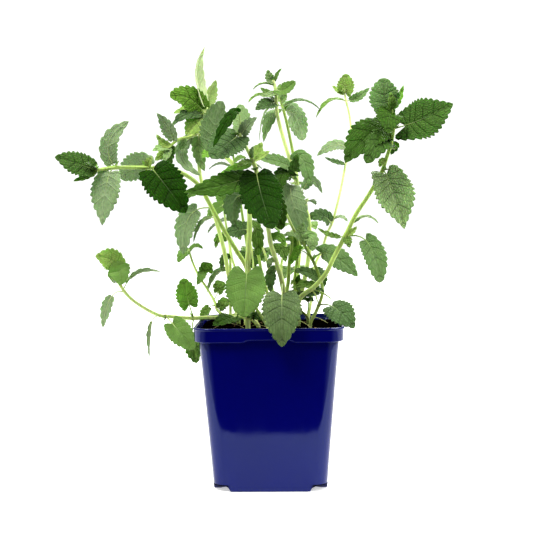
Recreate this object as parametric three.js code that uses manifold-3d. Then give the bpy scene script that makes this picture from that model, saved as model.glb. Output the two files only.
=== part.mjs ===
// Potted catmint: a square plastic pot, the soil in it and the leafy stems that stand in the soil.
// Millimetres, +Z up, -Y is the front. The origin is the middle of the pot's underside.
import * as THREE from 'three';
import { mergeVertices } from 'three/addons/utils/BufferGeometryUtils.js';
import Module from 'manifold-3d';

const wasm = await Module();
wasm.setup();

// The pot
const potHeight = 127;
const rimHalf = 57;
const lipHalf = 57.4;
const bandHeight = 10.6;
const shoulderHalf = 53.2;
const shoulderSlope = 1;
const baseHalf = 44;
const baseChamfer = 0.8;
const wall = 1.6;
const ledgeWall = 2.1;
const rimRound = 13;
const baseRound = 11;
const cornerSegments = 4;

// The feet, the drain holes and the raised length in the lower edge of the rim band
const footHalf = 30;
const footSlope = 3;
const footLift = 4.5;
const cutterReach = 30;
const drainRadius = 4;
const drainOffset = 35;
const drainSides = 12;
const notchHalf = 16;
const notchSlope = 1.8;
const notchLift = 1.8;

// The soil and the holes that the stems stand in
const gap = 0.3;
const soilTop = 122.4;
const soilBump = 0.7;
const footBelow = 2;
const soilRings = [0.82, 0.55, 0.26];
const holeDepth = 14;
const holeSides = 6;

// The foliage. A stem thins by a share of its thickness, and a leaf is rooted a share of it off the middle
const stemStep = 13;
const stemThinning = 0.36;
const rootOffset = 0.22;
const bladeThickness = 0.7;
const stalkWidth = 1.1;
const smallStalkWidth = 0.8;
const smallWidth = 11;
const longStalk = 11;

// The leaf's outline, in shares of its length and of its half width: the width follows a bent sine arch,
// lobes stand behind the stalk's joint, and a tooth ends in a notch. A width past each step adds a tooth
const archBias = 0.62;
const archFullness = 0.58;
const lobe = [-0.07, 0.4];
const smallLeafStops = [0.12, 0.5];
const toothFrom = 0.02;
const toothSpan = 0.9;
const toothPeak = 0.62;
const peakOut = 1.02;
const notchOut = 0.88;
const toothSteps = [0, 8, 12, 17, 24];
const ribStops = [[0.3], [0.3], [0.06, 0.5], [0.06, 0.5], [0.06, 0.38, 0.7], [0.06, 0.38, 0.7]];

// The pairs of leaves on the stems at the back, in shares of the route or of a leaf's reach
const pairs = {
  lowest: 0.36,
  tipSize: 0.42,
  shrinkPower: 1.5,
  turnSpread: 0.6,
  reach: [0.9, 1.1],
  rise: [0.45, 0.2],
  drop: [0.5, -0.15],
  dropSpread: [0.7, 1.2],
  elbow: 0.55,
  width: 0.68,
  stalk: 0.22,
  tilt: 0.3,
  fold: 0.12,
};

const potMaterial = new THREE.MeshStandardMaterial({ color: 0x10148c, roughness: 0.28, metalness: 0 });
const soilMaterial = new THREE.MeshStandardMaterial({ color: 0x21170f, roughness: 1, metalness: 0 });
const leafMaterial = new THREE.MeshStandardMaterial({ color: 0x4f8237, roughness: 0.75, metalness: 0 });

// The stems. A route runs from the soil to the tip. A leaf holds its place along the route, the bend and
// the tip of its midrib, its width, its stalk, the way its upper face looks and the fold of its halves.
const shoots = [
  {"name": "stem_left", "thick": 3.4,
   "route": [[-18, 2, 126], [-16, 1, 144], [-18, -3, 169], [-26, -8, 184], [-35, -15, 200],
             [-45, -24, 220], [-54, -31, 236], [-70, -39, 246], [-92, -46, 248],
             [-114, -52, 248], [-128, -56, 246]],
   "leaves": [
     [10.0, [-139, -60, 251], [-156, -64, 256], 21, 3, [0, -1, 0.8], 0.1],
     [9.9, [-133, -59, 240], [-143, -62, 238], 7, 1, [0, -1, 1], 0.4],
     [10.0, [-130, -62, 251], [-135, -65, 250], 7, 1, [-0.3, -1, 1], 0.3],
     [9.0, [-126, -54, 268], [-102, -56, 282], 15, 3, [-0.4, -1, 0.1], 0.12],
     [9.1, [-120, -59, 240], [-122, -63, 205], 22, 4, [-0.2, -1, 0.4], 0.1],
     [7.9, [-97, -38, 254], [-112, -36, 240], 21, 2, [0, 1, 0.3], 0.1],
     [7.8, [-83, -55, 245], [-60, -63, 214], 29, 4, [-0.2, -1, 0.8], 0.12],
     [7.9, [-89, -49, 252], [-86, -50, 256], 6, 1, [0, -1, 0.6], 0.3],
   ]},
  {"name": "stem_left_tall", "thick": 3.4,
   "route": [[-26, 20, 124], [-30, 20, 144], [-34, 19, 165], [-37, 18, 183], [-41, 18, 199],
             [-46, 18, 216], [-52, 18, 229], [-56, 20, 246], [-57, 22, 264], [-55, 24, 282],
             [-50, 26, 299]],
   "leaves": [
     [9.9, [-64, 26, 330], [-51, 24, 347], 15, 2, [1, -0.5, 0], 0.42],
     [9.8, [-50, 35, 307], [-43, 36, 322], 13, 2, [0.4, 0.8, 0], 0.25],
     [9.7, [-63, 17, 311], [-78, 9, 306], 21, 4, [0, -1, 0.35], 0.12],
     [9.4, [-64, 31, 301], [-78, 33, 295], 10, 2, [0, -1, 0.6], 0.2],
     [9.6, [-67, 13, 297], [-77, 5, 282], 10, 2, [0.1, -1, 0.5], 0.2],
     [9.5, [-57, 17, 288], [-66, 11, 275], 17, 2, [0, -1, 0.3], 0.1],
     [8.7, [-59, 19, 266], [-52, 17, 247], 11, 2, [-0.2, -1, 0.2], 0.2],
     [7.7, [-49, 11, 264], [-38, 7, 257], 8, 5, [0, -1, 0.4], 0.1],
     [5.1, [-71, 12, 221], [-69, 8, 180], 17, 12, [-0.2, -1, 0.1], 0.12],
     [4.6, [-57, 14, 212], [-61, 11, 190], 4, 3, [-0.6, -1, 0.2], 0.2],
     [6.0, [-59, 12, 233], [-67, 9, 224], 6, 1, [0, -1, 0.5], 0.2],
   ]},
  {"name": "stem_twig", "on": "stem_left_tall", "thick": 2.2,
   "route": [[-55, 24, 280], [-58, 17, 277], [-63, 8, 274], [-70, 0, 272], [-74, -4, 269],
             [-79, -8, 264]],
   "leaves": [
     [4.0, [-75, -6, 279], [-87, -8, 292], 13, 2, [-0.8, -1, 0.2], 0.2],
     [4.3, [-80, -9, 264], [-87, -11, 275], 6, 1, [-0.5, -1, 0.3], 0.3],
     [4.1, [-80, -4, 258], [-78, -3, 247], 8, 2, [-0.2, -1, 0.1], 0.2],
     [4.9, [-84, -11, 265], [-90, -14, 262], 8, 0, [0, -1, 0.8], 0.3],
     [5.0, [-84, -6, 258], [-89, -8, 255], 8, 0, [0, -1, 0.4], 0.3],
     [4.9, [-78, -13, 258], [-82, -16, 253], 6, 0, [0, -1, 0.4], 0.3],
     [1.6, [-82, 6, 259], [-54, 2, 243], 10, 1, [0.3, -1, 0.3], 0.15],
     [2.8, [-66, 4, 268], [-72, 4, 264], 6, 1, [0.3, -1, 0.3], 0.2],
   ]},
  {"name": "stem_centre", "thick": 3.6,
   "route": [[11, -8, 124], [11, -14, 153], [6, -21, 175], [2, -26, 188], [0, -30, 201],
             [-4, -36, 223], [-9, -40, 247], [-12, -41, 255], [-16, -42, 263], [-21, -43, 273]],
   "leaves": [
     [5.9, [-5, -56, 224], [4, -76, 202], 31, 3, [0.1, -1, 0.5], 0.08],
     [5.8, [-29, -53, 233], [-61, -64, 229], 20, 6, [0, -1, 0.6], 0.12],
     [4.8, [5, -33, 234], [10, -33, 200], 15, 5, [0.2, -1, 0.5], 0.15],
     [6.8, [-9, -33, 258], [-4, -29, 267], 9, 2, [0.3, -1, 0.5], 0.2],
     [6.7, [-5, -47, 254], [2, -51, 259], 8, 2, [0.1, -1, 0.8], 0.2],
     [7.0, [-12, -47, 259], [-10, -49, 263], 5, 1, [0, -1, 0.8], 0.2],
     [6.5, [-16, -48, 253], [-22, -54, 247], 7, 2, [0, -1, 0.9], 0.2],
     [6.3, [-22, -36, 249], [-37, -34, 242], 8, 2, [0, -1, 0.7], 0.2],
     [8.9, [-29, -51, 266], [-41, -59, 254], 28, 3, [-0.1, -1, 0.7], 0.15],
     [9.0, [-18, -41, 283], [-21, -40, 295], 15, 2, [0.4, 1, 0.2], 0.15],
     [8.8, [-14, -49, 280], [-7, -53, 284], 10, 2, [0.2, -1, 0.6], 0.2],
     [3.3, [7, -31, 200], [13, -35, 188], 8, 2, [0.3, -1, 0.6], 0.15],
     [2.6, [11, -22, 190], [13, -22, 175], 9, 2, [0.4, -1, 0.4], 0.15],
     [1.7, [0, -15, 171], [1, -15, 151], 9, 2, [-0.3, -1, 0.4], 0.12],
     [9.0, [-17, -51, 310], [-39, -65, 262], 9, 17, [-0.4, -1, 0.2], 0.12],
     [2.1, [1, -26, 178], [-1, -28, 171], 5, 1, [-0.2, -1, 0.5], 0.2],
     [1.2, [10, -67, 158], [10, -65, 114], 29, 32, [0, -1, 0.25], 0.08],
   ]},
  {"name": "stem_mid", "thick": 4.1,
   "route": [[-17, -14, 128], [-17, -14, 163], [-16, -14, 184], [-15, -12, 200], [-15, -10, 211],
             [-17, -6, 227], [-22, -2, 242], [-31, 0, 255], [-39, 0, 261], [-44, 0, 265]],
   "leaves": [
     [8.8, [-45, 4, 285], [-36, 10, 302], 22, 2, [-0.3, 1, 0.3], 0.15],
     [3.0, [-24, -4, 201], [-37, -2, 196], 13, 2, [-0.1, -1, 0.5], 0.12],
     [3.3, [-8, -1, 205], [-9, 1, 179], 11, 2, [0.3, -1, 0.5], 0.12],
     [1.6, [-17, -30, 168], [-19, -40, 134], 31, 15, [0, -1, 0.35], 0.08],
     [6.7, [-24, -7, 258], [-17, -9, 256], 6, 2, [0, -1, 0.8], 0.2],
     [6.4, [-32, -9, 247], [-36, -13, 240], 6, 2, [-0.2, -1, 0.8], 0.2],
     [5.0, [-32, -4, 230], [-27, -4, 203], 16, 3, [-0.5, 0.9, 0.2], 0.12],
   ]},
  {"name": "stem_top", "thick": 3.7,
   "route": [[18, 14, 124], [26, 15, 150], [32, 16, 182], [31, 17, 210], [25, 18, 225],
             [22, 19, 239], [20, 19, 247], [16, 20, 259], [10, 21, 280], [7, 22, 294],
             [6, 22, 312], [4, 22, 320]],
   "leaves": [
     [10.9, [1, 20, 320], [0, 20, 328], 7, 0, [-0.2, -1, 0.3], 0.4],
     [10.7, [6, 22, 325], [11, 22, 329], 3, 1, [0.3, -1, 0.2], 0.4],
     [10.0, [11, 18, 308], [22, 16, 318], 11, 2, [0.2, -1, 0.6], 0.2],
     [10.4, [-5, 19, 320], [-12, 17, 312], 4, 1, [0, -0.3, 1], 0.3],
     [9.8, [-1, 16, 308], [-6, 14, 313], 6, 1, [0, -1, 0.6], 0.2],
     [9.9, [0, 12, 305], [-6, 7, 306], 6, 1, [0, -1, 0.7], 0.2],
     [9.5, [-7, 22, 314], [-16, 20, 302], 6, 2, [0, -0.5, 1], 0.25],
     [9.4, [0, 16, 302], [-10, 10, 295], 13, 2, [0, -1, 0.8], 0.15],
     [6.1, [8, 9, 256], [-6, -1, 255], 13, 2, [0.1, -1, 0.7], 0.15],
     [5.6, [19, 1, 245], [23, -5, 259], 9, 3, [0, -1, 0.3], 0.15],
     [6.4, [29, 15, 268], [32, 9, 235], 14, 4, [0.2, -1, 0.4], 0.12],
     [5.0, [10, 7, 254], [8, -1, 230], 14, 7, [-0.2, -1, 0.5], 0.12],
     [4.9, [10, -1, 236], [30, 0, 193], 20, 10, [-0.1, -1, 0.35], 0.1],
     [4.1, [35, 22, 250], [43, 22, 228], 8, 6, [0.3, -1, 0.5], 0.2],
     [3.3, [27, 13, 220], [32, 11, 224], 5, 1, [0, -1, 0.5], 0.3],
   ]},
  {"name": "stem_top_behind", "thick": 3.0,
   "route": [[17, 26, 123], [21, 29, 149], [25, 34, 190], [24, 38, 223], [22, 41, 248],
             [20, 42, 260], [16, 43, 281], [12, 44, 298], [9, 44, 307]],
   "leaves": [
     [7.3, [28, 46, 312], [42, 44, 298], 7, 3, [0, -0.4, 1], 0.15],
     [6.9, [21, 54, 303], [28, 56, 273], 18, 3, [0.3, -1, 0.3], 0.12],
     [7.7, [13, 40, 307], [15, 38, 310], 6, 1, [0.3, -1, 0.5], 0.3],
     [7.0, [1, 26, 299], [-4, 18, 270], 13, 3, [-0.6, -1, 0.3], 0.15],
     [7.3, [-6, 50, 307], [-8, 50, 273], 5, 3, [-1, -0.3, 0.4], 0.2],
     [7.7, [6, 50, 313], [10, 52, 320], 7, 2, [0.2, 1, 0.3], 0.2],
   ]},
  {"name": "stem_slim", "thick": 2.3,
   "route": [[31, 24, 125], [35, 29, 149], [37, 33, 169], [43, 36, 182], [47, 38, 194],
             [52, 40, 205], [58, 43, 227], [63, 46, 250], [68, 49, 278], [67, 50, 293],
             [64, 50, 306], [63, 50, 312]],
   "leaves": [
     [10.9, [64, 47, 315], [64, 46, 327], 14, 1, [0, -1, 0.5], 0.15],
     [10.7, [59, 52, 312], [53, 53, 318], 5, 1, [0, -1, 0.8], 0.3],
     [9.9, [49, 48, 312], [39, 44, 291], 6, 2, [0, -0.4, 1], 0.2],
     [9.9, [74, 53, 306], [84, 54, 316], 8, 3, [0, -1, 0.7], 0.25],
     [4.8, [46, 32, 215], [30, 28, 207], 13, 3, [0, -1, 0.7], 0.12],
     [5.1, [59, 37, 212], [64, 34, 205], 5, 1, [0, -0.6, 1], 0.2],
     [7.5, [56, 53, 275], [40, 54, 260], 10, 3, [0, -1, 0.6], 0.15],
     [7.1, [55, 42, 253], [46, 40, 258], 5, 1, [0, -1, 0.8], 0.2],
   ]},
  {"name": "stem_right", "thick": 3.6,
   "route": [[19, -16, 124], [24, -16, 146], [35, -17, 155], [44, -18, 165], [51, -20, 179],
             [59, -22, 194], [68, -24, 212], [76, -26, 224], [87, -29, 243], [90, -30, 252],
             [94, -31, 265], [96, -31, 279], [94, -31, 292]],
   "leaves": [
     [11.9, [87, -35, 297], [89, -35, 314], 23, 2, [-0.2, -1, 0.5], 0.15],
     [11.9, [94, -39, 296], [93, -39, 303], 7, 1, [0.1, -1, 0.3], 0.35],
     [11.9, [99, -28, 296], [104, -28, 309], 6, 1, [0.4, -1, 0.3], 0.35],
     [11.4, [91, -45, 292], [90, -55, 271], 20, 2, [0, -1, 0.5], 0.12],
     [10.8, [115, -39, 280], [140, -39, 294], 33, 9, [0.1, -1, 0.6], 0.12],
     [10.4, [83, -43, 285], [58, -53, 250], 29, 7, [-0.3, -1, 0.7], 0.12],
     [10.1, [85, -55, 273], [73, -63, 249], 18, 3, [0.1, -1, 0.3], 0.12],
     [9.9, [100, -21, 267], [95, -19, 257], 8, 2, [0, -1, 0.5], 0.15],
     [8.9, [87, -33, 254], [85, -35, 247], 5, 1, [0, -1, 0.5], 0.3],
     [8.2, [93, -39, 239], [103, -43, 200], 30, 5, [0.2, -1, 0.4], 0.12],
     [5.0, [48, -25, 193], [38, -27, 201], 5, 3, [0, -1, 0.9], 0.2],
     [5.1, [64, -25, 196], [68, -26, 202], 5, 1, [0, -1, 0.6], 0.3],
     [5.0, [61, -28, 192], [62, -31, 186], 7, 1, [0, -1, 0.6], 0.2],
     [5.0, [81, -28, 202], [85, -34, 159], 18, 17, [0.2, -1, 0.4], 0.12],
     [5.5, [76, -19, 216], [85, -21, 204], 5, 3, [0, -0.4, 1], 0.2],
   ]},
  {"name": "stem_dark", "thick": 2.7,
   "route": [[32, -14, 126], [37, -12, 136], [41, -9, 146], [42, -7, 152], [40, -6, 161],
             [35, -8, 174], [29, -10, 185], [25, -12, 193]],
   "leaves": [
     [5.1, [43, -6, 191], [70, -3, 162], 19, 9, [0.2, -1, 0.7], 0.12],
     [5.1, [22, -6, 193], [17, -6, 172], 9, 13, [-0.3, -1, 0.5], 0.2],
     [6.2, [34, -14, 201], [34, -18, 183], 12, 2, [0.3, -1, 0.4], 0.15],
     [6.6, [18, -19, 200], [10, -23, 194], 7, 2, [0, -0.8, 1], 0.15],
     [7.0, [24, -10, 199], [28, -10, 205], 7, 1, [0, -1, 0.5], 0.3],
     [3.9, [31, -8, 168], [20, -10, 167], 10, 2, [-0.1, -0.9, 0.8], 0.12],
     [3.3, [30, -10, 158], [17, -12, 154], 7, 2, [-0.1, -0.9, 0.8], 0.12],
     [2.5, [29, -8, 150], [15, -8, 146], 6, 2, [0, -0.9, 0.8], 0.12],
     [1.4, [50, -41, 147], [65, -41, 125], 21, 21, [0.1, -1, 0.7], 0.1],
   ]},
  {"name": "stem_runner", "thick": 3.3,
   "route": [[-9, -4, 123], [-16, -4, 130], [-28, -3, 130], [-40, -2, 130], [-51, -2, 130],
             [-63, -5, 130], [-79, -10, 132], [-86, -13, 133], [-94, -16, 137], [-101, -20, 142],
             [-107, -23, 147], [-112, -25, 153], [-117, -28, 162]],
   "leaves": [
     [11.0, [-124, -29, 158], [-128, -33, 126], 9, 11, [-0.3, -1, 0.3], 0.15],
     [11.2, [-105, -23, 174], [-84, -23, 168], 5, 10, [0, -0.8, 1], 0.2],
     [12.0, [-112, -30, 180], [-133, -32, 181], 17, 11, [-0.1, -1, 0.3], 0.12],
     [11.6, [-115, -39, 180], [-111, -45, 160], 18, 6, [0, -1, 0.6], 0.12],
     [7.0, [-96, -17, 136], [-94, -21, 101], 5, 9, [-0.8, -0.8, 0.2], 0.2],
     [6.3, [-73, -23, 125], [-58, -29, 108], 19, 9, [-0.1, -1, 0.5], 0.12],
     [4.8, [-63, -10, 120], [-58, -12, 95], 15, 13, [-0.2, -1, 0.3], 0.1],
     [4.8, [-64, -8, 140], [-68, -8, 162], 17, 11, [0, -1, 0.5], 0.12],
     [1.9, [-30, -19, 133], [-44, -23, 126], 15, 3, [0, -0.8, 1], 0.1],
   ]},
  {"name": "stem_low_left", "thick": 2.2,
   "route": [[-20, 12, 125], [-19, 12, 129], [-25, 14, 131], [-36, 15, 130], [-43, 18, 134],
             [-45, 20, 140], [-52, 24, 152], [-57, 26, 159], [-63, 29, 171], [-67, 31, 183]],
   "leaves": [
     [8.9, [-61, 29, 189], [-55, 27, 184], 6, 1, [0, -0.7, 1], 0.2],
     [8.9, [-70, 26, 184], [-75, 23, 173], 9, 1, [-0.2, -1, 0.6], 0.2],
     [7.1, [-53, 20, 167], [-59, 16, 155], 7, 2, [0.2, -1, 0.5], 0.2],
     [7.0, [-52, 28, 178], [-48, 28, 163], 8, 3, [0.2, -1, 0.5], 0.15],
     [4.7, [-53, 15, 138], [-55, 13, 126], 8, 6, [-0.2, -1, 0.6], 0.2],
     [4.0, [-32, 14, 147], [-40, 10, 135], 9, 2, [0.2, -1, 0.5], 0.15],
     [5.2, [-36, 25, 160], [-47, 25, 152], 9, 7, [0, -1, 0.6], 0.2],
   ]},
  {"name": "stem_inner_left", "thick": 2.4,
   "route": [[-33, 30, 123], [-33, 33, 145], [-33, 38, 170], [-34, 42, 189], [-37, 46, 205],
             [-39, 50, 220]],
   "leaves": [
     [2.2, [-38, 35, 181], [-40, 31, 167], 7, 2, [-0.3, -1, 0.4], 0.2],
     [3.0, [-43, 40, 200], [-45, 38, 184], 7, 2, [-0.3, -1, 0.5], 0.2],
     [1.8, [-46, 33, 171], [-52, 29, 148], 5, 2, [-0.4, -1, 0.5], 0.2],
     [3.2, [-29, 49, 202], [-25, 51, 190], 8, 3, [0.2, -1, 0.5], 0.2],
     [4.9, [-44, 46, 219], [-52, 44, 209], 12, 2, [-0.2, -1, 0.6], 0.15],
     [4.9, [-40, 54, 227], [-45, 56, 236], 10, 2, [0.1, -1, 0.4], 0.2],
   ]},
  {"name": "stem_inner_right", "thick": 2.8,
   "route": [[23, 4, 127], [21, 4, 143], [20, 3, 158], [22, 0, 174], [23, -5, 191],
             [18, -12, 203], [14, -16, 212]],
   "leaves": [
     [3.7, [18, -6, 195], [13, -8, 191], 7, 2, [-0.2, -1, 0.6], 0.15],
     [3.3, [17, 1, 187], [9, 3, 180], 7, 2, [-0.2, -1, 0.5], 0.2],
   ]},
  {"name": "stem_back_left", "thick": 2.6, "seed": 11, "pairs": 5, "size": 36, "turn": 1.5,
   "route": [[-14, 44, 123], [-16, 56, 150], [-20, 70, 182], [-25, 82, 214], [-30, 91, 246],
             [-33, 96, 266]]},
  {"name": "stem_back_right", "thick": 2.6, "seed": 35, "pairs": 5, "size": 33, "turn": 2.2,
   "route": [[20, 42, 123], [22, 54, 148], [23, 68, 178], [24, 80, 208], [24, 88, 236]]},
];

const vector = (point) => new THREE.Vector3(...point);
const mix = (from, to, share) => from + (to - from) * share;

// A small seeded generator, so that every build draws the same numbers
function seeded(seed) {
  let state = seed;
  return () => {
    state = (state * 16807) % 2147483647;
    return state / 2147483647;
  };
}

function closedGeometry(vertices, triangles) {
  const geometry = new THREE.BufferGeometry();
  geometry.setAttribute('position', new THREE.Float32BufferAttribute(vertices, 3));
  geometry.setIndex(triangles);
  return geometry;
}

function toSolid(geometry) {
  geometry.deleteAttribute('normal');
  geometry.deleteAttribute('uv');
  const merged = mergeVertices(geometry, 1e-4);
  return new wasm.Manifold(new wasm.Mesh({
    numProp: 3,
    vertProperties: new Float32Array(merged.attributes.position.array),
    triVerts: new Uint32Array(merged.index.array),
  }));
}

function toMesh(solid, name, material) {
  const result = solid.getMesh();
  const geometry = closedGeometry(Array.from(result.vertProperties), Array.from(result.triVerts));
  const mesh = new THREE.Mesh(geometry, material);
  mesh.name = name;
  return mesh;
}

// One level of a rounded square, anticlockwise from above
function squareRing(half, round, height, bump = () => 0) {
  const ring = [];
  for (let corner = 0; corner < 4; corner += 1) {
    const turn = (corner * Math.PI) / 2;
    const sideX = Math.sign(Math.cos(turn + Math.PI / 4));
    const sideY = Math.sign(Math.sin(turn + Math.PI / 4));
    for (let step = 0; step <= cornerSegments; step += 1) {
      const angle = turn + (step / cornerSegments) * (Math.PI / 2);
      const x = sideX * (half - round) + round * Math.cos(angle);
      const y = sideY * (half - round) + round * Math.sin(angle);
      ring.push([x, y, height + bump()]);
    }
  }
  return ring;
}

// A closed solid through a stack of rings with equal counts, with a fan over each end
function loft(rings) {
  const count = rings[0].length;
  const vertices = rings.flat(2);
  const triangles = [];
  for (let level = 0; level < rings.length - 1; level += 1) {
    for (let side = 0; side < count; side += 1) {
      const near = level * count + side;
      const next = level * count + ((side + 1) % count);
      triangles.push(near, next, next + count, near, next + count, near + count);
    }
  }
  const addFan = (ring, first, facesUp) => {
    const middle = vertices.length / 3;
    const height = ring.reduce((sum, point) => sum + point[2], 0) / count;
    vertices.push(0, 0, height);
    for (let side = 0; side < count; side += 1) {
      const near = first + side;
      const next = first + ((side + 1) % count);
      triangles.push(middle, facesUp ? near : next, facesUp ? next : near);
    }
  };
  addFan(rings[0], 0, false);
  addFan(rings[rings.length - 1], (rings.length - 1) * count, true);
  return closedGeometry(vertices, triangles);
}

// The block that lifts one corner of the underside, grown all round by a wall or a gap
function cornerCutter(signX, signY, grow) {
  const height = footLift + wall;
  const spread = (footSlope * height) / footLift;
  const below = cutterReach + grow + (footSlope * wall) / footLift;
  const block = new THREE.CylinderGeometry(
    (below - spread) * Math.SQRT2, below * Math.SQRT2, height, 4);
  block.rotateY(Math.PI / 4);
  block.rotateX(Math.PI / 2);
  const middle = footHalf + cutterReach;
  block.translate(signX * middle, signY * middle, footLift + grow - height / 2);
  return toSolid(block);
}

const corners = [[1, 1], [-1, 1], [-1, -1], [1, -1]];

function makePot() {
  const bandBottom = potHeight - bandHeight;
  let body = toSolid(loft([
    squareRing(baseHalf - baseChamfer, baseRound - baseChamfer, 0),
    squareRing(baseHalf, baseRound, baseChamfer),
    squareRing(shoulderHalf, rimRound - 1, bandBottom - shoulderSlope),
    squareRing(rimHalf - shoulderSlope, rimRound, bandBottom),
    squareRing(rimHalf - wall / 4, rimRound, bandBottom + wall / 2),
    squareRing(rimHalf, rimRound, potHeight - wall),
    squareRing(lipHalf, rimRound, potHeight - wall / 2),
    squareRing(lipHalf - wall / 4, rimRound, potHeight),
  ]));
  const ledge = bandBottom + notchLift + wall;
  let cavity = toSolid(loft([
    squareRing(baseHalf - wall, baseRound - wall, wall),
    squareRing(shoulderHalf - wall, rimRound - wall - 1, ledge),
    squareRing(rimHalf - ledgeWall, rimRound - wall, ledge + shoulderSlope),
    squareRing(rimHalf - wall, rimRound - wall, potHeight + 1),
  ]));
  corners.forEach(([signX, signY]) => {
    body = body.subtract(cornerCutter(signX, signY, 0));
    cavity = cavity.subtract(cornerCutter(signX, signY, wall));
  });
  body = body.subtract(cavity);
  corners.forEach(([signX, signY]) => {
    const drain = new THREE.CylinderGeometry(drainRadius, drainRadius, footLift * 2, drainSides);
    drain.rotateX(Math.PI / 2);
    drain.translate(signX * drainOffset, signY * drainOffset, footLift + wall / 2);
    body = body.subtract(toSolid(drain));
  });
  const notch = new THREE.Shape([
    new THREE.Vector2(-notchHalf - notchSlope * 2, -notchLift),
    new THREE.Vector2(notchHalf + notchSlope * 2, -notchLift),
    new THREE.Vector2(notchHalf, notchLift),
    new THREE.Vector2(-notchHalf, notchLift),
  ]);
  for (let side = 0; side < 4; side += 1) {
    const cut = new THREE.ExtrudeGeometry(notch, { depth: bandHeight, bevelEnabled: false, steps: 1 });
    cut.rotateX(Math.PI / 2);
    cut.translate(0, -shoulderHalf - gap, bandBottom);
    cut.rotateZ((side * Math.PI) / 2);
    body = body.subtract(toSolid(cut));
  }
  return toMesh(body, 'pot', potMaterial);
}

function makeSoil(standing) {
  const draw = seeded(71);
  const bump = () => (draw() - 0.5) * 2 * soilBump;
  const floor = wall + gap;
  const lowHalf = baseHalf - wall - gap;
  const highHalf = shoulderHalf - wall - gap * 2;
  const wideHalf = rimHalf - ledgeWall - gap * 2;
  const ledge = potHeight - bandHeight + notchLift + wall + gap;
  const rings = [
    squareRing(lowHalf, baseRound - wall, floor),
    squareRing(highHalf, rimRound - wall - 1, ledge),
    squareRing(wideHalf, rimRound - wall, ledge + shoulderSlope),
    squareRing(wideHalf, rimRound - wall, soilTop - soilBump),
  ];
  soilRings.forEach((share) => {
    rings.push(squareRing(wideHalf * share, rimRound * share, soilTop, bump));
  });
  let soil = toSolid(loft(rings));
  corners.forEach(([signX, signY]) => {
    soil = soil.subtract(cornerCutter(signX, signY, wall + gap));
  });
  standing.forEach(({ x, y, thick }) => {
    const radius = (thick / Math.SQRT2 + gap) / Math.cos(Math.PI / holeSides);
    const hole = new THREE.CylinderGeometry(radius, radius, holeDepth * 2, holeSides);
    hole.rotateX(Math.PI / 2);
    hole.translate(x, y, soilTop);
    soil = soil.subtract(toSolid(hole));
  });
  return toMesh(soil, 'soil', soilMaterial);
}

// The stem's middle line: down the hole in the soil where it stands, then along its route
function stemCurve(shoot) {
  const points = shoot.route.map(vector);
  if (!shoot.on) {
    const foot = points[0].clone();
    points.unshift(foot.clone().setZ(soilTop - holeDepth + gap), foot.clone().setZ(soilTop - footBelow));
  }
  return new THREE.CatmullRomCurve3(points, false, 'centripetal');
}

function stemMiddles(curve) {
  return curve.getSpacedPoints(Math.max(4, Math.round(curve.getLength() / stemStep)));
}

// Catmint stems are square, and thin out to their tips
function makeStem(shoot) {
  const curve = stemCurve(shoot);
  const half = shoot.thick / 2;
  const section = new THREE.Shape([
    new THREE.Vector2(-half, -half),
    new THREE.Vector2(half, -half),
    new THREE.Vector2(half, half),
    new THREE.Vector2(-half, half),
  ]);
  const middles = stemMiddles(curve);
  const steps = middles.length - 1;
  const geometry = new THREE.ExtrudeGeometry(section, { steps, bevelEnabled: false, extrudePath: curve });
  const places = geometry.attributes.position;
  const place = new THREE.Vector3();
  for (let i = 0; i < places.count; i += 1) {
    place.fromBufferAttribute(places, i);
    const distances = middles.map((middle) => middle.distanceTo(place));
    const nearest = distances.indexOf(Math.min(...distances));
    const thin = 1 - stemThinning * (nearest / steps) ** 2;
    place.lerp(middles[nearest], 1 - thin);
    places.setXYZ(i, place.x, place.y, place.z);
  }
  return toSolid(geometry);
}

// Half of a leaf's outline from the stalk to the tip: how far along, and how far out of the half width
function leafOutline(teeth) {
  const widthAt = (along) => Math.sin(Math.PI * along ** archBias) ** archFullness;
  if (teeth < 2) return smallLeafStops.map((along) => [along, widthAt(along)]);
  const outline = [lobe];
  for (let tooth = 0; tooth < teeth; tooth += 1) {
    const start = toothFrom + (toothSpan * tooth) / teeth;
    const end = toothFrom + (toothSpan * (tooth + 1)) / teeth;
    const peak = mix(start, end, toothPeak);
    outline.push([peak, widthAt(peak) * peakOut]);
    outline.push([end, widthAt(end) * notchOut]);
  }
  return outline;
}

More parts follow.
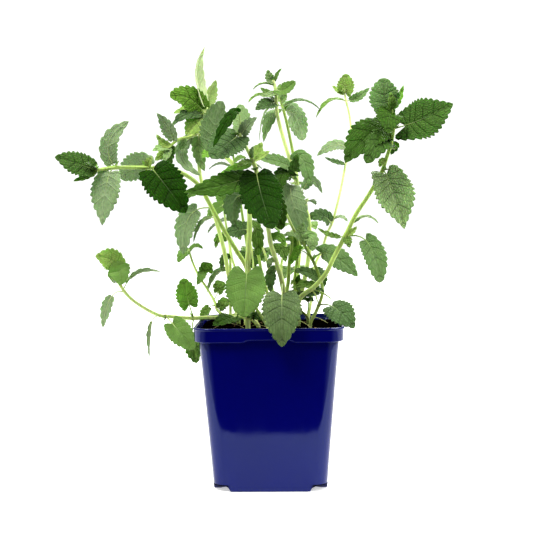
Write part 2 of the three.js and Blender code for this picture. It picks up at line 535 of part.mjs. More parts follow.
// One leaf: a stalk and a toothed blade along a bent midrib, a slab with both faces split alike
function makeLeaf(root, [elbow, tip, wide, stalk, face, fold]) {
  const curve = new THREE.QuadraticBezierCurve3(root, vector(elbow), vector(tip));
  const length = curve.getLength();
  const bladeLength = length - stalk;
  const facing = vector(face).normalize();
  const teeth = toothSteps.filter((step) => wide > step).length;
  const vertices = [];
  const under = [];
  const addPoint = (distance, across, thickness) => {
    const share = THREE.MathUtils.clamp(distance / length, 0, 1);
    const along = curve.getTangentAt(share);
    const side = along.clone().cross(facing).normalize();
    const normal = side.clone().cross(along);
    const place = curve.getPointAt(share).addScaledVector(along, distance - share * length);
    place.addScaledVector(side, across).addScaledVector(normal, Math.abs(across) * fold);
    vertices.push(place.clone().addScaledVector(normal, thickness / 2));
    under.push(place.clone().addScaledVector(normal, -thickness / 2));
    return vertices.length - 1;
  };
  const left = [];
  const right = [];
  const addPair = (distance, half, thickness) => {
    left.push(addPoint(distance, -half, thickness));
    right.push(addPoint(distance, half, thickness));
  };
  const stalkHalf = wide > smallWidth ? stalkWidth / 2 : smallStalkWidth / 2;
  addPair(0, stalkHalf, stalkHalf * 2);
  if (stalk > longStalk) addPair(stalk / 2, stalkHalf, stalkHalf * 2);
  addPair(stalk, stalkHalf, bladeThickness);
  const joint = left.length - 1;
  leafOutline(teeth).forEach(([along, out]) => {
    addPair(stalk + bladeLength * along, (wide / 2) * out, bladeThickness);
  });
  const tipPoint = addPoint(length, 0, bladeThickness);
  const ribShares = ribStops[teeth];
  const ribs = ribShares.map((share) => addPoint(stalk + bladeLength * share, 0, bladeThickness));
  const top = [];
  for (let i = 0; i < joint; i += 1) {
    top.push([left[i], right[i], right[i + 1]], [left[i], right[i + 1], left[i + 1]]);
  }
  top.push([left[joint], right[joint], ribs[0]]);
  const reach = (index) => (index - joint) / (left.length - joint);
  const fill = (edge, flip) => {
    const rim = [...edge.slice(joint), tipPoint];
    const middle = [...ribs, tipPoint];
    let outer = 0;
    let inner = 0;
    const add = (a, b, c) => top.push(flip ? [a, c, b] : [a, b, c]);
    while (outer < rim.length - 1) {
      const behind = inner < middle.length - 2 && ribShares[inner + 1] < reach(joint + outer + 1);
      if (behind) {
        add(rim[outer], middle[inner], middle[inner + 1]);
        inner += 1;
      } else {
        add(rim[outer], middle[inner], rim[outer + 1]);
        outer += 1;
      }
    }
  };
  fill(left, false);
  fill(right, true);
  const loop = [...right, tipPoint, ...left.slice().reverse()];
  const lower = vertices.length;
  const triangles = [];
  top.forEach(([a, b, c]) => triangles.push(a, b, c, a + lower, c + lower, b + lower));
  loop.forEach((point, i) => {
    const next = loop[(i + 1) % loop.length];
    triangles.push(point, point + lower, next + lower, point, next + lower, next);
  });
  const positions = [...vertices, ...under].flatMap((point) => point.toArray());
  return toSolid(closedGeometry(positions, triangles));
}

// The leaves of a stem at the back: pairs, each turned a quarter from the last and smaller to the tip
function pairedLeaves(shoot) {
  const draw = seeded(shoot.seed);
  const rows = [];
  const last = shoot.route.length - 1;
  for (let pair = 0; pair < shoot.pairs; pair += 1) {
    const rank = pair / (shoot.pairs - 1);
    const share = mix(pairs.lowest, 1, rank);
    const at = share * last;
    const [x, y, z] = shoot.route[Math.floor(at)].map((value, axis) => (
      mix(value, shoot.route[Math.min(last, Math.floor(at) + 1)][axis], at % 1)));
    const size = shoot.size * mix(1, pairs.tipSize, rank ** pairs.shrinkPower);
    for (let side = 0; side < 2; side += 1) {
      const spread = (draw() - 0.5) * pairs.turnSpread;
      const turn = shoot.turn + (pair * Math.PI) / 2 + side * Math.PI + spread;
      const reach = size * mix(...pairs.reach, draw());
      const outX = Math.cos(turn);
      const outY = Math.sin(turn);
      const rise = reach * mix(...pairs.rise, draw());
      const drop = reach * mix(...pairs.drop, share) * mix(...pairs.dropSpread, draw());
      const bend = reach * pairs.elbow;
      const elbow = [x + outX * bend, y + outY * bend, z + rise];
      const tip = [x + outX * reach, y + outY * reach, z - drop];
      const face = [outX * pairs.tilt, outY * pairs.tilt, 1];
      rows.push([at, elbow, tip, reach * pairs.width, reach * pairs.stalk, face, pairs.fold]);
    }
  }
  return rows;
}

// Where a leaf's stalk starts: inside the stem, a little off its middle line on the leaf's own side
function rootOnStem(shoot, at, elbow) {
  const curve = stemCurve(shoot);
  const before = shoot.on ? 0 : 2;
  const share = (before + at) / (curve.points.length - 1);
  const place = curve.getPoint(share);
  const along = curve.getTangent(share);
  const middles = stemMiddles(curve);
  const middle = middles.slice(1)
    .map((end, i) => new THREE.Line3(middles[i], end).closestPointToPoint(place, true, new THREE.Vector3()))
    .reduce((best, point) => (point.distanceTo(place) < best.distanceTo(place) ? point : best));
  const outward = vector(elbow).sub(middle).projectOnPlane(along).normalize();
  const thin = 1 - stemThinning * share ** 2;
  return middle.addScaledVector(outward, rootOffset * shoot.thick * thin);
}

function shootSolids(shoot) {
  const rows = shoot.pairs ? pairedLeaves(shoot) : shoot.leaves;
  const leaves = rows.map(([at, ...leaf]) => makeLeaf(rootOnStem(shoot, at, leaf[0]), leaf));
  return [makeStem(shoot), ...leaves];
}

// A stem, its side shoots and all their leaves, joined into one solid
function makeLeafyStem(shoot) {
  const family = shoots.filter((other) => other === shoot || other.on === shoot.name);
  const solids = family.flatMap(shootSolids);
  const joined = solids.reduce((sum, solid) => sum.add(solid));
  const largest = joined.decompose().reduce((best, part) => (part.volume() > best.volume() ? part : best));
  return toMesh(largest, shoot.name, leafMaterial);
}

const plant = new THREE.Group();
const standing = shoots.filter((shoot) => !shoot.on);
standing.forEach((shoot) => plant.add(makeLeafyStem(shoot)));

const group = new THREE.Group();
group.add(makePot());
group.add(makeSoil(standing.map(({ route, thick }) => ({ x: route[0][0], y: route[0][1], thick }))));
group.add(plant);

export default group;
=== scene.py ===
import math
import random

import bpy
import numpy as np
from mathutils import Matrix, Vector


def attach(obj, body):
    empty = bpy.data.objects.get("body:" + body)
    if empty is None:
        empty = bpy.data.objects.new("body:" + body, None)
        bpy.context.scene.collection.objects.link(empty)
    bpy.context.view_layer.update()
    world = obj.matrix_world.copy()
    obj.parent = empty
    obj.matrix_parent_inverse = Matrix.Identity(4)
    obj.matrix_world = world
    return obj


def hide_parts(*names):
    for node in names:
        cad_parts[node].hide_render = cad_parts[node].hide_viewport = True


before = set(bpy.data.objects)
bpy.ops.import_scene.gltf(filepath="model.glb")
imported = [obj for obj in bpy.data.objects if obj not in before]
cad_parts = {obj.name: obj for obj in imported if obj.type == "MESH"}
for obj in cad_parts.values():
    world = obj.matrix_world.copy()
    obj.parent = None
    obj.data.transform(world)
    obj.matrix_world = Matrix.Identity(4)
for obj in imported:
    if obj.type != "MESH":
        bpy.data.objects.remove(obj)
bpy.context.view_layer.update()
mm = 0.001
imageSide = 533    # pixels each way

# Camera: the photograph's own angle, worked out from the pot's rim and foot
camera = {
    "eye": (16.5, -880.0, 218.4),    # mm
    "focalPixels": 1108.5,
    "turnLeft": 0.0213,              # radians
    "tiltDown": 0.0546,
    "roll": -0.0096,
    "sensorWidth": 36.0,
    "clip": (0.05, 30),              # m
}


def makeCamera():
    yaw = camera["turnLeft"]
    tilt = camera["tiltDown"]
    roll = camera["roll"]
    forward = Vector((-math.sin(yaw) * math.cos(tilt), math.cos(yaw) * math.cos(tilt), -math.sin(tilt)))
    level = Vector((math.cos(yaw), math.sin(yaw), 0))
    upright = level.cross(forward)
    right = level * math.cos(roll) + upright * math.sin(roll)
    up = upright * math.cos(roll) - level * math.sin(roll)
    data = bpy.data.cameras.new("camera")
    data.sensor_width = camera["sensorWidth"]
    data.lens = camera["focalPixels"] * camera["sensorWidth"] / imageSide
    data.clip_start, data.clip_end = camera["clip"]
    thing = bpy.data.objects.new("camera", data)
    turn = Matrix((right, up, -forward)).transposed().to_4x4()
    thing.matrix_world = Matrix.Translation(Vector(camera["eye"]) * mm) @ turn
    bpy.context.scene.collection.objects.link(thing)
    bpy.context.scene.camera = thing


makeCamera()
print("camera placed")


def newNode(tree, kind, inputs=None, **settings):
    node = tree.nodes.new(kind)
    for name, value in settings.items():
        setattr(node, name, value)
    fillSockets(tree, node, inputs or {})
    return node


def fillSockets(tree, node, inputs):
    # What varies is linked, and a fixed value is set on the socket itself
    for name, value in inputs.items():
        if isinstance(value, bpy.types.NodeSocket):
            tree.links.new(value, node.inputs[name])
        else:
            node.inputs[name].default_value = value


class Finish:
    # A material, with short calls for the nodes that it is built from
    def __init__(self, name):
        self.material = bpy.data.materials.new(name)
        self.material.use_nodes = True
        self.tree = self.material.node_tree
        self.place = self.node("TexCoord").outputs["Object"]

    def node(self, kind, inputs=None, **settings):
        return newNode(self.tree, "ShaderNode" + kind, inputs, **settings)

    def own(self, name, output="Fac"):
        # A value that the mesh holds for each of its points
        return self.node("Attribute", attribute_name=name).outputs[output]

    def noise(self, scale, detail, place=None, roughness=0.5):
        return self.node("TexNoise", {
            "Vector": place or self.place, "Scale": scale, "Detail": detail,
            "Roughness": roughness}).outputs["Fac"]

    def stretched(self, scale):
        return self.node("Mapping", {"Vector": self.place, "Scale": scale}).outputs["Vector"]

    def ramp(self, value, low, high, start=0.0, end=1.0, kind="LINEAR"):
        return self.node("MapRange", {
            "Value": value, "From Min": low, "From Max": high, "To Min": start, "To Max": end},
            interpolation_type=kind).outputs["Result"]

    def ease(self, *values):
        return self.ramp(*values, kind="SMOOTHSTEP")

    def maths(self, operation, *values):
        return self.node("Math", dict(enumerate(values)), operation=operation).outputs[0]

    def mixed(self, factor, first, second):
        # The colour sockets of a mix node are its inputs 6 and 7 and its output 2
        return self.node("Mix", {0: factor, 6: first, 7: second}, data_type="RGBA").outputs[2]

    def scaled(self, colour, amount):
        return self.node("VectorMath", {0: colour, "Scale": amount}, operation="SCALE").outputs["Vector"]

    def lifted(self, colour, gain, extra):
        return self.node("VectorMath", {0: colour, 1: gain, 2: extra},
                         operation="MULTIPLY_ADD").outputs["Vector"]

    def bump(self, height, strength, distance, **normal):
        return self.node("Bump", {
            "Height": height, "Strength": strength, "Distance": distance, **normal}).outputs["Normal"]

    def dress(self, values):
        fillSockets(self.tree, self.tree.nodes["Principled BSDF"], values)
        return self.material


def newPiece(name, points, faces, material, attributes=None, smooth=True):
    mesh = bpy.data.meshes.new(name)
    mesh.from_pydata([tuple(point) for point in points], [], [tuple(face) for face in faces])
    for key, values in (attributes or {}).items():
        values = np.asarray(values, dtype=np.float32)
        kind, part = ("FLOAT_COLOR", "color") if values.ndim == 2 else ("FLOAT", "value")
        mesh.attributes.new(key, kind, "POINT").data.foreach_set(part, values.ravel())
    if smooth:
        mesh.polygons.foreach_set("use_smooth", [True] * len(mesh.polygons))
    mesh.materials.append(material)
    mesh.update()
    thing = bpy.data.objects.new(name, mesh)
    bpy.context.scene.collection.objects.link(thing)
    return thing


def perPoint(value, count):
    # One colour for all points, or a value for each
    value = np.asarray(value, dtype=float)
    return np.tile(value, (count, 1)) if value.shape == (4,) else value


class Cloud:
    # Points, faces and values of one piece, gathered bit by bit, in mm
    def __init__(self, *keys):
        self.points = []
        self.faces = []
        self.values = {key: [] for key in keys}
        self.count = 0

    def add(self, points, faces, **values):
        self.points.append(np.asarray(points, dtype=float))
        self.faces += [[index + self.count for index in face] for face in faces]
        for key, known in self.values.items():
            known.append(perPoint(values[key], len(points)))
        self.count += len(points)

    def piece(self, name, material, smooth=True):
        values = {key: np.concatenate(known) for key, known in self.values.items()}
        return newPiece(name, np.vstack(self.points) * mm, self.faces, material, values, smooth)


def seatPiece(piece, slot, *nodes):
    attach(piece, "root")
    if nodes:
        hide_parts(*nodes)


# Studio: a white floor, a soft room that is dark only behind the camera, and large lamps
studio = {
    "floorHalf": 4.0,
    "floorFront": -0.17,    # the pot's upper front mirrors what is beyond this edge
    "floor": {"Base Color": (0.8, 0.8, 0.8, 1), "Roughness": 0.55, "Specular IOR Level": 0.25,
              "Emission Color": (1, 1, 1, 1), "Emission Strength": 0.45},
    "roomWhite": 1.0,
    "roomDim": 0.05,    # the dark side behind the camera
    "roomDimRange": (-0.9, -0.5),
    "roomLight": 0.85,
    "roofGain": 1.5,
    "lamps": [    # name, place, size, watts, colour
        ("lampKey", (-0.7, -0.9, 1.9), 0.7, 33, (1.0, 0.99, 0.96)),
        ("lampFill", (1.35, -0.55, 1.2), 0.9, 13, (0.97, 0.99, 1.0)),
        ("lampBack", (0.3, 1.3, 1.5), 1.0, 26, (1.0, 1.0, 0.98)),
    ],
    "aim": (0, 0, 0.17),
}


def makeRoom():
    world = bpy.data.worlds.new("room")
    bpy.context.scene.world = world
    world.use_nodes = True
    tree = world.node_tree
    tree.nodes.clear()
    place = newNode(tree, "ShaderNodeTexCoord")
    parts = newNode(tree, "ShaderNodeSeparateXYZ", {0: place.outputs["Generated"]})
    dimmest, lightest = studio["roomDimRange"]
    around = newNode(tree, "ShaderNodeMapRange", {
        "Value": parts.outputs["Y"], "From Min": dimmest, "From Max": lightest,
        "To Min": studio["roomDim"], "To Max": studio["roomLight"]}, interpolation_type="SMOOTHSTEP")
    above = newNode(tree, "ShaderNodeMapRange", {
        "Value": parts.outputs["Z"], "To Min": 1.0, "To Max": studio["roofGain"]})
    shade = newNode(tree, "ShaderNodeMath", {0: around.outputs["Result"], 1: above.outputs["Result"]},
                    operation="MULTIPLY")
    seen = newNode(tree, "ShaderNodeLightPath")
    strength = newNode(tree, "ShaderNodeMix", {
        "Factor": seen.outputs["Is Camera Ray"], "A": shade.outputs[0], "B": studio["roomWhite"]})
    light = newNode(tree, "ShaderNodeBackground", {
        "Color": (1, 1, 1, 1), "Strength": strength.outputs["Result"]})
    newNode(tree, "ShaderNodeOutputWorld", {"Surface": light.outputs[0]})


def makeLamps():
    for name, place, size, watts, colour in studio["lamps"]:
        data = bpy.data.lights.new(name, "AREA")
        data.shape = "DISK"
        data.size = size
        data.energy = watts
        data.color = colour
        thing = bpy.data.objects.new(name, data)
        thing.location = place
        aim = Vector(studio["aim"]) - Vector(place)
        thing.rotation_euler = aim.to_track_quat("-Z", "Y").to_euler()
        bpy.context.scene.collection.objects.link(thing)


def makeFloor():
    half = studio["floorHalf"]
    front = studio["floorFront"]
    corners = [(-half, front, 0), (half, front, 0), (half, half, 0), (-half, half, 0)]
    paint = Finish("paleFloor").dress(studio["floor"])
    newPiece("floor", corners, [(0, 1, 2, 3)], paint, smooth=False)


bpy.context.scene.view_settings.view_transform = "Standard"
bpy.context.scene.view_settings.look = "Medium High Contrast"
makeRoom()
makeLamps()
makeFloor()
print("studio lit")

# Pot: thin moulded plastic, square with round corners, a rim band and lifted corners underneath
pot = {    # mm
    "height": 127.0,
    "rimHalf": 57.0,
    "lipHalf": 57.4,
    "bandHeight": 10.6,
    "shoulderHalf": 53.2,
    "shoulderDrop": 1.4,
    "baseHalf": 44.0,
    "wall": 1.6,
    "rimRound": 13.0,
    "wallRound": 12.0,
    "baseRound": 11.0,
    "footHalf": 30.0,
    "footSlope": 3.0,
    "footLift": 4.5,
    "notchHalf": 16.0,
    "notchSlope": 3.6,
    "notchLift": 1.8,
    "drainRadius": 4.0,
    "drainOffset": 35.0,
    "drainSides": 24,
    "drainCut": (-2.0, 12.0),    # from and to this height
    "cornerSteps": 12,
    "sideSteps": 26,
    "sideBow": 0.35,    # how far the long walls lean in at their middle
    "underside": (0.02, 0.3, 0.55, 0.75, 0.9),    # its rings, as shares of its width
    "baseEdge": ((1.2, 0.0), (0.45, 0.15), (0.12, 0.5), (0.0, 1.2)),    # how far in and up
    "wallSteps": 21,
    "liningSteps": (1.0, 0.8, 0.5, 0.25, 0.0),
    "bandFoot": (    # the half width it grows from, by how much, and the rise from the band's lower edge
        ("shoulderHalf", 0.03, -0.3), ("shoulderHalf", 0.2, -0.08), ("rimHalf", -0.8, 0.0),
        ("rimHalf", -0.48, 0.1), ("rimHalf", -0.39, 0.35), ("rimHalf", -0.38, 0.8)),
    "bandTop": (    # the same, with the rise from the pot's top
        ("rimHalf", -0.25, -5.6), ("rimHalf", -0.1, -2.2), ("rimHalf", -0.05, -1.8),
        ("lipHalf", -0.05, -1.2), ("lipHalf", 0.0, -0.7), ("lipHalf", -0.15, -0.25),
        ("lipHalf", -0.5, 0.0), ("lipHalf", -1.3, 0.0), ("lipHalf", -1.65, -0.25), ("rimHalf", -1.6, -0.9)),
    "ledgeHalf": 54.9,
    "colour": (0.0006, 0.0012, 0.115, 1),
    "deepColour": (0.0004, 0.0008, 0.085, 1),
    "dustColour": (0.05, 0.055, 0.2, 1),
    # Painted shade: a near-black colour for the lower edge of the lifted corners, where shade falls under
    # the pot
    "paintedShadeColour": (0.001, 0.001, 0.0012, 1),
    "paintedShadeCorner": (0.03, 0.034),    # m, how far out both ways the painted shade on the lifted corners reaches
    "paintedShadeTop": (0.0059, 0.005),    # m, and up to what height
    "dust": (0.66, 0.78, 0.0, 0.12),    # from and to this noise, from and to this amount
    "roughness": (0.035, 0.125),
    "sheen": 0.42,
    "sheenTint": (0.66, 0.82, 1.0, 1),
}


def smoothStep(value):
    value = np.clip(value, 0, 1)
    return value * value * (3 - 2 * value)


def squareRing(half, rounding, bow=0.0):
    ring = []
    corner = half - rounding
    for quarter in range(4):
        start = quarter * math.pi / 2
        middle = start + math.pi / 4
        centre = (math.copysign(corner, math.cos(middle)), math.copysign(corner, math.sin(middle)))
        for step in range(pot["cornerSteps"] + 1):
            angle = start + step / pot["cornerSteps"] * math.pi / 2
            ring.append((centre[0] + rounding * math.cos(angle), centre[1] + rounding * math.sin(angle)))
        outward = (math.cos(start + math.pi / 2), math.sin(start + math.pi / 2))
        along = (-outward[1], outward[0])
        for step in range(1, pot["sideSteps"]):
            share = step / pot["sideSteps"]
            shift = (2 * share - 1) * corner
            lean = half - bow * math.sin(math.pi * share)
            ring.append((outward[0] * lean + along[0] * shift, outward[1] * lean + along[1] * shift))
    return np.array(ring)


def cornerLift(ring):
    # The underside rises where a point is far out both ways
    ramp = smoothStep((np.abs(ring) - pot["footHalf"]) / pot["footSlope"])
    return pot["footLift"] * ramp[:, 0] * ramp[:, 1]


def bandNotch(ring):
    # The band's lower edge rises over the middle of each side
    alongSide = np.min(np.abs(ring), axis=1)
    return pot["notchLift"] * (1 - smoothStep((alongSide - pot["notchHalf"]) / pot["notchSlope"]))


def loftRings(rings):
    # A closed skin from the first ring to the last
    count = len(rings[0])
    faces = []
    for level in range(len(rings) - 1):
        for side in range(count):
            near = level * count + side
            after = level * count + (side + 1) % count
            faces.append((near, after, after + count, near + count))
    faces.append(tuple(range(count - 1, -1, -1)))
    faces.append(tuple(range((len(rings) - 1) * count, len(rings) * count)))
    return np.vstack(rings), faces


def atHeight(ring, height):
    return np.column_stack([ring, np.broadcast_to(height, len(ring))])


def wallRing(share, thickness=0.0):
    # The tapered wall, from the base up to the shoulder
    half = pot["baseHalf"] + (pot["shoulderHalf"] - pot["baseHalf"]) * share
    rounding = pot["baseRound"] + (pot["wallRound"] - pot["baseRound"]) * share
    return squareRing(half - thickness, rounding - thickness, pot["sideBow"] * math.sin(math.pi * share))


def baseRing(inset, share=1.0):
    return squareRing(pot["baseHalf"] - inset, pot["baseRound"] - inset) * share


def potRings():
    wall = pot["wall"]
    edge, edgeRise = pot["baseEdge"][0][0], pot["baseEdge"][-1][1]
    bandBottom = pot["height"] - pot["bandHeight"]
    ledge = bandBottom + pot["notchLift"] + wall
    rings = []
    for share in pot["underside"]:
        ring = baseRing(edge, share)
        rings.append(atHeight(ring, cornerLift(ring)))
    for inset, rise in pot["baseEdge"]:
        ring = baseRing(inset)
        rings.append(atHeight(ring, cornerLift(ring) + rise))
    for step in range(pot["wallSteps"]):
        share = (step + 1) / pot["wallSteps"]
        ring = wallRing(share)
        low = cornerLift(ring) + edgeRise
        top = bandBottom - pot["shoulderDrop"] + bandNotch(ring)
        rings.append(atHeight(ring, low + (top - low) * share))
    for key, growth, rise in pot["bandFoot"]:
        ring = squareRing(pot[key] + growth, pot["rimRound"])
        rings.append(atHeight(ring, bandBottom + rise + bandNotch(ring)))
    for key, growth, rise in pot["bandTop"]:
        rings.append(atHeight(squareRing(pot[key] + growth, pot["rimRound"]), pot["height"] + rise))
    rings.append(atHeight(squareRing(pot["ledgeHalf"], pot["rimRound"] - wall), ledge + 1.0))
    for share in pot["liningSteps"]:
        ring = wallRing(share, wall)
        low = cornerLift(ring) + wall
        rings.append(atHeight(ring, low + (ledge - low) * share))
    for share in reversed(pot["underside"]):
        ring = baseRing(wall, share)
        rings.append(atHeight(ring, cornerLift(ring) + wall))
    return rings


def plasticMaterial():
    skin = Finish("bluePlastic")
    colour = skin.mixed(skin.noise(18, 3), pot["deepColour"], pot["colour"])
    dust = skin.ramp(skin.noise(900, 2, roughness=0.7), *pot["dust"])
    dusty = skin.mixed(dust, colour, pot["dustColour"])
    # Painted shade on the edge of the lifted corners: near black, rougher and less glossy, where shade
    # falls under the pot
    axes = skin.node("SeparateXYZ", {"Vector": skin.place}).outputs
    across, deep = (skin.maths("ABSOLUTE", axes[axis]) for axis in ("X", "Y"))
    corner = skin.ease(skin.maths("MINIMUM", across, deep), *pot["paintedShadeCorner"])
    paintedShade = skin.maths("MULTIPLY", skin.ease(axes["Z"], *pot["paintedShadeTop"]), corner)
    smears = skin.noise(3, 4, skin.stretched((60, 60, 6)))
    waves = skin.bump(skin.noise(55, 1), 0.1, 0.0006)
    return skin.dress({
        "Base Color": skin.mixed(paintedShade, dusty, pot["paintedShadeColour"]),
        "Roughness": skin.maths("MAXIMUM", skin.ramp(smears, 0.3, 0.75, *pot["roughness"]), paintedShade),
        "Specular IOR Level": skin.ramp(paintedShade, 0.0, 1.0, pot["sheen"], 0.05),
        "Specular Tint": pot["sheenTint"],
        "Normal": skin.bump(skin.noise(1400, 1), 0.05, 0.0002, Normal=waves)})


def cutDrains(piece):
    angles = np.arange(pot["drainSides"]) * 2 * math.pi / pot["drainSides"]
    rim = np.column_stack([np.cos(angles), np.sin(angles)]) * pot["drainRadius"]
    cutters = []
    for signX in (-1, 1):
        for signY in (-1, 1):
            ring = rim + np.array((signX, signY)) * pot["drainOffset"]
            points, faces = loftRings([atHeight(ring, height) for height in pot["drainCut"]])
            cutter = newPiece("drainCutter", points * mm, faces, piece.data.materials[0], smooth=False)
            modifier = piece.modifiers.new("drain", "BOOLEAN")
            modifier.object = cutter
            modifier.solver = "EXACT"
            cutters.append(cutter)
    shape = piece.evaluated_get(bpy.context.evaluated_depsgraph_get())
    piece.data = bpy.data.meshes.new_from_object(shape)
    piece.modifiers.clear()
    for cutter in cutters:
        bpy.data.objects.remove(cutter)


def makePot():
    points, faces = loftRings(potRings())
    piece = newPiece("potShell", points * mm, faces, plasticMaterial())
    cutDrains(piece)
    seatPiece(piece, "pot", "pot")


makePot()
print("pot moulded")

# Soil: a dark peat bed with crumbs, bits of straw and a few thin pale stems lying on it
soil = {    # mm
    "top": 122.1,
    "half": 54.2,
    "rounding": 11.4,
    "skirt": (    # half width, rounding and height of the rings where the bed widens over the ledge
        (51.0, 11.5, 120.1), (54.2, 11.4, 121.1)),
    "low": 1.9,
    "lowHalf": 42.1,
    "lowRounding": 9.4,
    "rough": 0.78,    # height of the lumps
    "roughLimits": (-1.6, 1.0),
    "waves": (    # length and height
        (28, 0.5), (15, 0.45), (9, 0.4), (6, 0.32), (4, 0.26), (2.7, 0.2), (2.0, 0.15)),
    "wavesEach": 4,
    "rings": 46,
    "seed": 7,
    "dark": (0.0006, 0.0005, 0.0004, 1),
    "brown": (0.005, 0.003, 0.0017, 1),
    "clodScale": 260,
    "fibreScale": 700,
}

crumb = {    # mm
    "reach": 0.965,    # share of the bed
    "roughness": 0.95,
    "mottle": 900,
    "count": 1500,
    "size": (0.45, 1.9),
    "stretch": (0.6, 1.35),
    "bump": (0.75, 1.2),
    "rise": 0.15,
    "radius": 0.9 / 1.9 / 2,    # from a corner of the solid with twenty sides to half the crumb's size
    "colours": [(0.001, 0.0008, 0.0006), (0.003, 0.002, 0.0012), (0.014, 0.006, 0.003),
                (0.002, 0.0015, 0.001)],
}

straw = {    # mm
    "reach": 0.9,
    "roughness": 0.75,
    "mottle": 1500,
    "count": 55,
    "length": (3.0, 13.0),
    "width": (0.35, 1.0),
    "bend": 0.25,
    "limit": 50.5,
    "lift": 0.35,
    "thickness": 0.3,
    "taper": (0.6, 1, 1, 1, 1, 0.7),
    "colours": [(0.3, 0.2, 0.09), (0.14, 0.08, 0.03), (0.42, 0.33, 0.18), (0.06, 0.03, 0.012)],
}

thread = {    # mm
    "roughness": 0.6,
    "mottle": 900,
    "lines": [    # thickness and points
        (1.0, [(22, 31, 123.5), (25, 15, 124.6), (28, -2, 125), (32, -24, 124)]),
        (0.9, [(29, 44, 124), (32, 36, 127), (37, 30, 126.5), (42, 22, 125.5), (46, 8, 124)]),
        (0.8, [(-36, 8, 124), (-30, -2, 125.2), (-24, -10, 124.4), (-20, -18, 123.4)]),
        (0.7, [(-14, -6, 123.6), (-10, -14, 125.4), (-4, -20, 125), (2, -26, 123.6)]),
    ],
    "steps": 22,
    "smoothings": 3,
    "colour": (0.5, 0.5, 0.25),
}


def unit(vector):
    return vector / (np.linalg.norm(vector, axis=-1, keepdims=True) + 1e-12)


def tube(places, radii, sides=7):
    # A closed round tube through places
    ahead = unit(np.gradient(places, axis=0))
    side = unit(np.cross(ahead[0], (0.31, 0.47, 0.83)))
    rings = []
    angles = np.arange(sides) * 2 * math.pi / sides
    for place, along, radius in zip(places, ahead, radii):
        side = unit(side - along * np.dot(side, along))
        across = np.cross(along, side)
        rings.append(place + (np.outer(np.cos(angles), side) + np.outer(np.sin(angles), across)) * radius)
    return loftRings(rings)


def lumps(x, y):
    # Layered waves stand in for loose soil: a few long ones and many short ones
    height = np.zeros_like(x)
    draw = random.Random(soil["seed"])
    for size, amount in soil["waves"]:
        for wave in range(soil["wavesEach"]):
            angle = draw.uniform(0, math.pi)
            phase = draw.uniform(0, 2 * math.pi)
            flow = (x * math.cos(angle) + y * math.sin(angle)) * 2 * math.pi / size
            height += amount * 0.5 * np.sin(flow + phase + 1.3 * np.sin(flow * 0.37 + phase * 2))
    return height * soil["rough"]


def soilHeight(x, y):
    edge = np.maximum(np.abs(x), np.abs(y)) / soil["half"]
    rough = np.clip(lumps(x, y), *soil["roughLimits"])
    return soil["top"] + rough * (1 - 0.8 * smoothStep((edge - 0.9) / 0.1))


def soilMaterial():
    skin = Finish("moistSoil")
    clods = skin.noise(soil["clodScale"], 6, roughness=0.7)
    fibre = skin.node("TexVoronoi", {"Vector": skin.place, "Scale": soil["fibreScale"]}).outputs["Distance"]
    return skin.dress({
        "Base Color": skin.mixed(skin.ramp(clods, 0.38, 0.72), soil["dark"], soil["brown"]),
        "Roughness": 0.92,
        "Specular IOR Level": 0.0,
        "Normal": skin.bump(clods, 0.9, 0.0015, Normal=skin.bump(fibre, 0.6, 0.0008))})


def speckMaterial(name, look):
    skin = Finish(name)
    noise = skin.noise(look["mottle"], 4)
    shade = skin.ramp(noise, 0.3, 0.7, 0.6, 1.35)
    return skin.dress({
        "Base Color": skin.scaled(skin.own("tone", "Color"), shade),
        "Roughness": look["roughness"],
        "Specular IOR Level": 0.0,
        "Normal": skin.bump(noise, 0.6, 0.0004)})


def makeSoilBed():
    ring = squareRing(soil["lowHalf"], soil["lowRounding"])
    rings = [atHeight(ring, cornerLift(ring) + soil["low"])]
    for half, rounding, height in soil["skirt"]:
        rings.append(atHeight(squareRing(half, rounding), height))
    for share in np.linspace(1.0, 0.01, soil["rings"]):
        ring = squareRing(soil["half"], soil["rounding"]) * share
        rings.append(atHeight(ring, soilHeight(ring[:, 0], ring[:, 1])))
    points, faces = loftRings(rings)
    seatPiece(newPiece("soilBed", points * mm, faces, soilMaterial()), "soil", "soil")


def soilSpot(draw, reach):
    # Any place on the bed, inside its rounded outline
    limit = soil["half"] * reach
    corner = soil["half"] - soil["rounding"]
    while True:
        x = draw.uniform(-limit, limit)
        y = draw.uniform(-limit, limit)
        far = math.hypot(max(abs(x) - corner, 0), max(abs(y) - corner, 0))
        if far < soil["rounding"] * reach:
            return x, y


def makeCrumbs():
    draw = random.Random(soil["seed"] + 1)
    golden = (1 + 5 ** 0.5) / 2
    corners = [(-1, golden, 0), (1, golden, 0), (-1, -golden, 0), (1, -golden, 0),
               (0, -1, golden), (0, 1, golden), (0, -1, -golden), (0, 1, -golden),
               (golden, 0, -1), (golden, 0, 1), (-golden, 0, -1), (-golden, 0, 1)]
    sides = [(0, 11, 5), (0, 5, 1), (0, 1, 7), (0, 7, 10), (0, 10, 11),
             (1, 5, 9), (5, 11, 4), (11, 10, 2), (10, 7, 6), (7, 1, 8),
             (3, 9, 4), (3, 4, 2), (3, 2, 6), (3, 6, 8), (3, 8, 9),
             (4, 9, 5), (2, 4, 11), (6, 2, 10), (8, 6, 7), (9, 8, 1)]
    low, high = crumb["size"]
    crumbs = Cloud("tone")
    for number in range(crumb["count"]):
        x, y = soilSpot(draw, crumb["reach"])
        size = low + (high - low) * draw.random() ** 3
        height = float(soilHeight(np.array([x]), np.array([y]))[0]) + size * crumb["rise"]
        stretch = [draw.uniform(*crumb["stretch"]) for axis in range(3)]
        colour = draw.choice(crumb["colours"])
        bumps = [[draw.uniform(*crumb["bump"]) * size * crumb["radius"]] for corner in corners]
        points = np.array([x, y, height]) + np.array(corners) * stretch * bumps
        crumbs.add(points, sides, tone=(*colour, 1))
    seatPiece(crumbs.piece("soilCrumbs", speckMaterial("crumbs", crumb), smooth=False), "soil")


